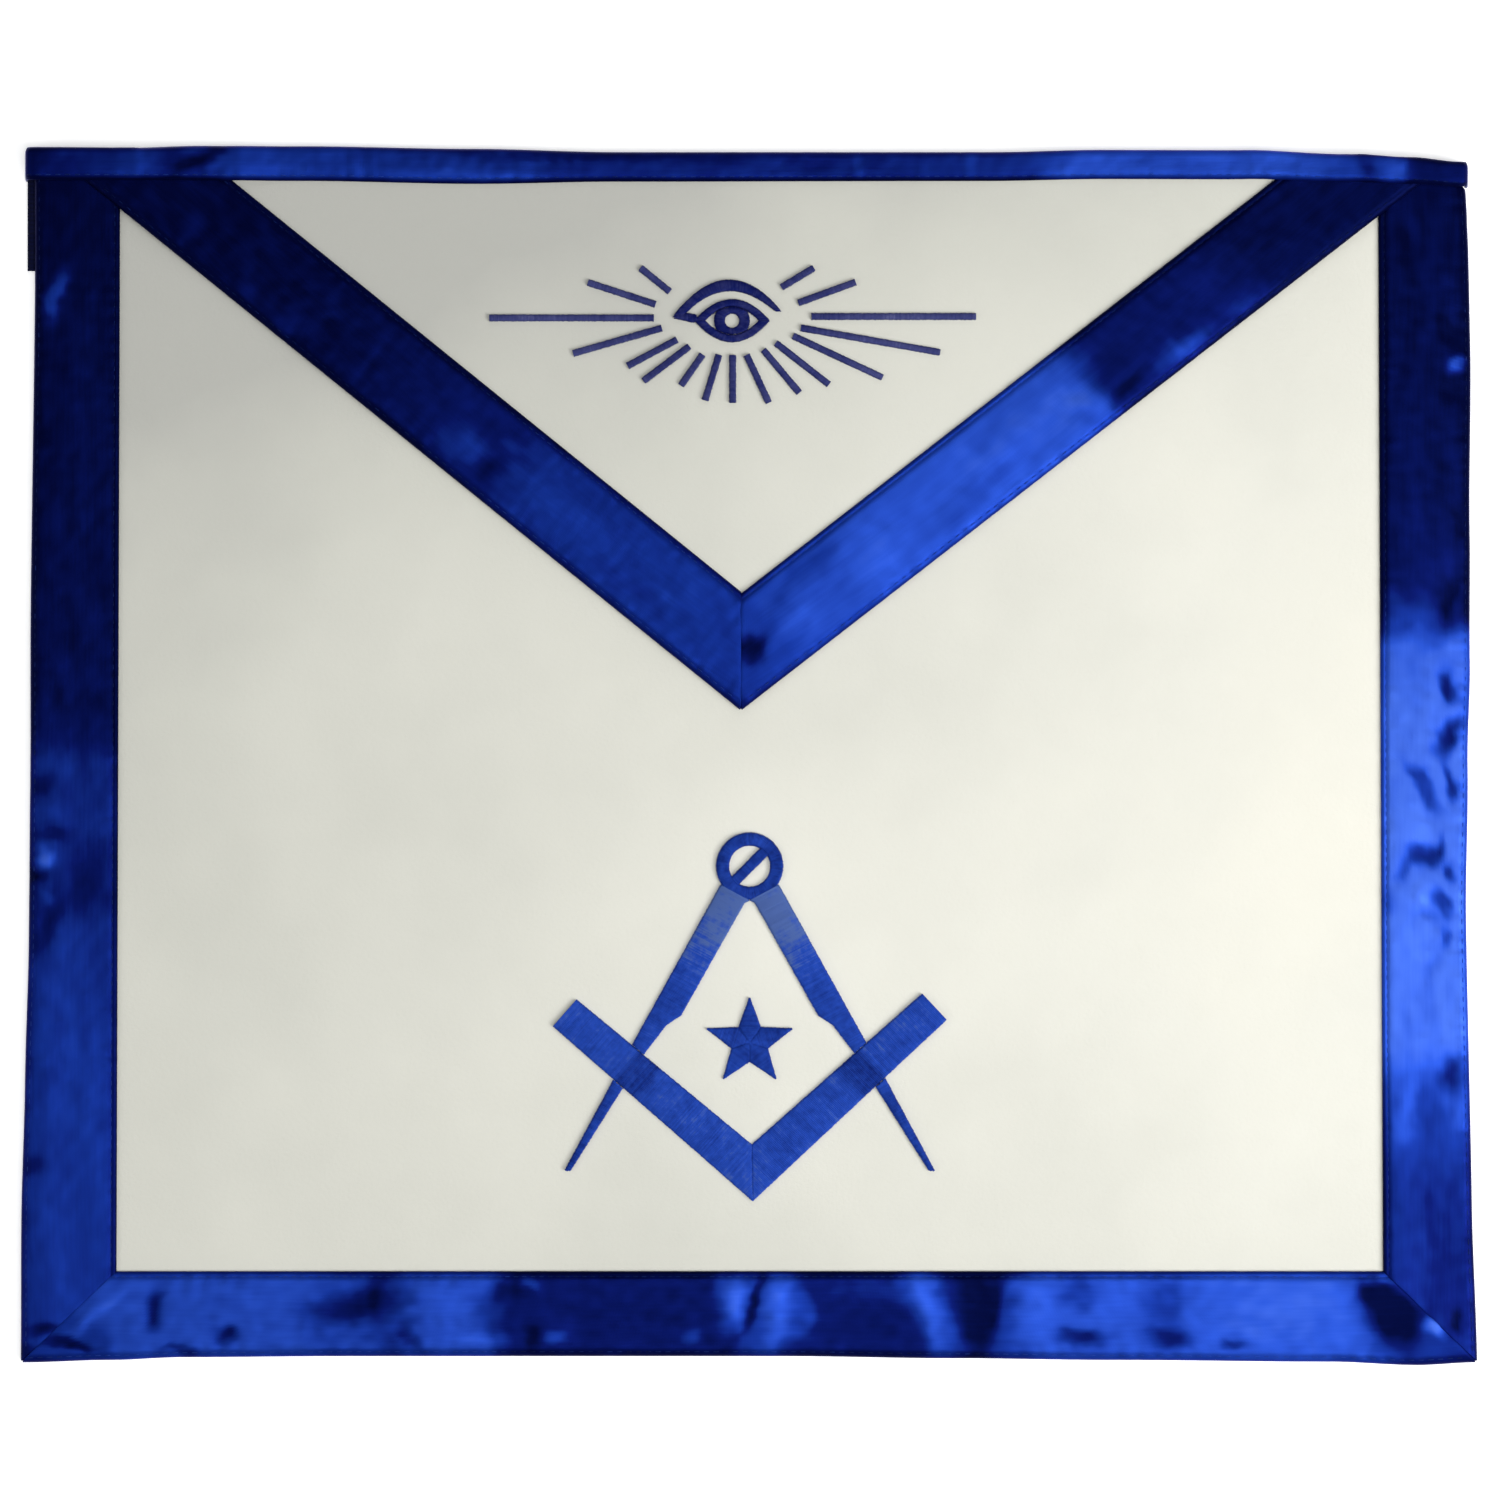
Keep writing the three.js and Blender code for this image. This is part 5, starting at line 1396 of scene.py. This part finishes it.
def on_front(ribbon, share, first=0.0):
    """A line along a ribbon's front at a share of its width; its stitches take the ribbon's painted
    highlight and shade, dimmed.
    """
    def surface(along):
        along = first + along * (1 - first)
        return ribbon.front(along, share + 0 * along) + np.array([0, 0, WALL / 2 + SEAM_LIFT])

    def shade(along):
        along = first + along * (1 - first)
        return 0.6 * ribbon.tone(along, share + 0 * along)

    return surface, ribbon.length * (1 - first) - 2, shade


def on_back(ribbon, share, level, first, last):
    """A line on the apron's back under a ribbon, at a level."""
    def surface(along):
        along = first + along * (last - first)
        place = ribbon.plan(along, share + 0 * along)
        return np.concatenate([place, level + 0 * along[..., None]], -1)

    return surface, ribbon.length * (last - first), lambda along: 0.4 + 0 * along


def both_seams(ribbons, first=0.0):
    return [on_front(ribbon, share, first) for ribbon in ribbons.values() for share in (SEAM_IN, SEAM_OUT)]


back_lines = []
for side, ribbon in BORDERS.items():
    first, last = (0.02, 0.92) if side == "bottom" else (0.13, 0.98)
    back_lines.append(on_back(ribbon, SEAM_OUT, -SEAM_LIFT, first, 0.98))
    back_lines.append(on_back(ribbon, SEAM_IN, BODY_LEVEL - BODY_WALL / 2 - SEAM_LIFT, first, last))
back_lines.append(on_back(WAIST_BINDING, 0.8, -SEAM_LIFT, 0.1, 0.9))
body_seams = seam("border_seams", both_seams(BORDERS) + [on_front(WAIST_BINDING, BINDING_SEAM)], 201)
back_seams = seam("back_seams", back_lines, 203)
flap_seams = seam("flap_seams", both_seams(FLAP_RIBBONS, 0.06), 205)

for name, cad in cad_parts.items():
    if not cad.hide_render:
        for slot in cad.material_slots:
            slot.material = DARK_EMBROIDERY if name.startswith(("eye", "ray")) else EMBROIDERY


# Floor, light and camera

# Metres and watts from here on.
FLOOR_REACH = 3.0
FLOOR_DROP = 0.0003
FLOOR_GLOW = 0.42
WORLD_GLOW = 0.115
PHOTO_WIDTH = 1500 * 0.289 * MM  # the photograph's pixels across, each 0.289 mm
CAMERA_PLACE = (0.0003, 0.0017, 1.3)
SENSOR = 36

# Each softbox's name, place, target, size, power and turn about its own axis.
SOFTBOXES = [
    ("key", (0.3, -0.3, 2.0), (0.05, -0.05, 0), 1.15, 17.5, 45),
    ("left_side", (-1.6, -0.3, 1.1), (0, 0, 0), 0.9, 7.5, 0),
    ("right_side", (1.2, -0.55, 1.0), (0.05, -0.02, 0), 0.9, 25, 0),
    ("far_side", (0.3, 1.7, 1.1), (0, 0, 0), 0.9, 5, 0),
]


def floor():
    made, tree, shader = new_material("pale_floor", Specular_IOR_Level=0.2, Roughness=0.8)
    shade = mottle(tree, object_place(tree), 4.0, 0.0, 1.0)
    pale = ramp(tree, shade, [(0.0, ink(246, 246, 246)), (1.0, ink(250, 250, 250))])
    tree.links.new(pale, shader["Base Color"])
    shader["Emission Color"].default_value = (1, 1, 1, 1)
    shader["Emission Strength"].default_value = FLOOR_GLOW
    mesh = bpy.data.meshes.new("floor")
    corners = [(FLOOR_REACH * x, FLOOR_REACH * y, 0) for x, y in ((-1, -1), (1, -1), (1, 1), (-1, 1))]
    mesh.from_pydata(corners, [], [(0, 1, 2, 3)])
    mesh.materials.append(made)
    piece = bpy.data.objects.new("floor", mesh)
    piece.location.z = -FLOOR_DROP
    bpy.context.scene.collection.objects.link(piece)


def softbox(name, place, target, size, power, turn):
    """A square area light at a place, facing a target, turned about its own axis."""
    light = bpy.data.lights.new(name, "AREA")
    light.shape, light.size, light.energy = "SQUARE", size, power
    lamp = bpy.data.objects.new(name, light)
    aim = (Vector(target) - Vector(place)).to_track_quat("-Z", "Y").to_matrix()
    lamp.rotation_euler = (aim @ Euler((0, 0, math.radians(turn))).to_matrix()).to_euler()
    lamp.location = place
    bpy.context.scene.collection.objects.link(lamp)


floor()
for lamp in SOFTBOXES:
    softbox(*lamp)

world = bpy.data.worlds.new("studio")
bpy.context.scene.world = world
world.use_nodes = True
sky = world.node_tree.nodes["Background"].inputs
sky["Color"].default_value = (0.93, 0.96, 1, 1)
sky["Strength"].default_value = WORLD_GLOW
bpy.context.scene.view_settings.view_transform = "Standard"

camera = bpy.data.cameras.new("camera")
camera.sensor_width = SENSOR
camera.lens = SENSOR * CAMERA_PLACE[2] / PHOTO_WIDTH
eye_point = bpy.data.objects.new("camera", camera)
eye_point.location = Vector(CAMERA_PLACE) + Vector((0, 0, BORDER_LEVEL * MM))
bpy.context.scene.collection.objects.link(eye_point)
bpy.context.scene.camera = eye_point
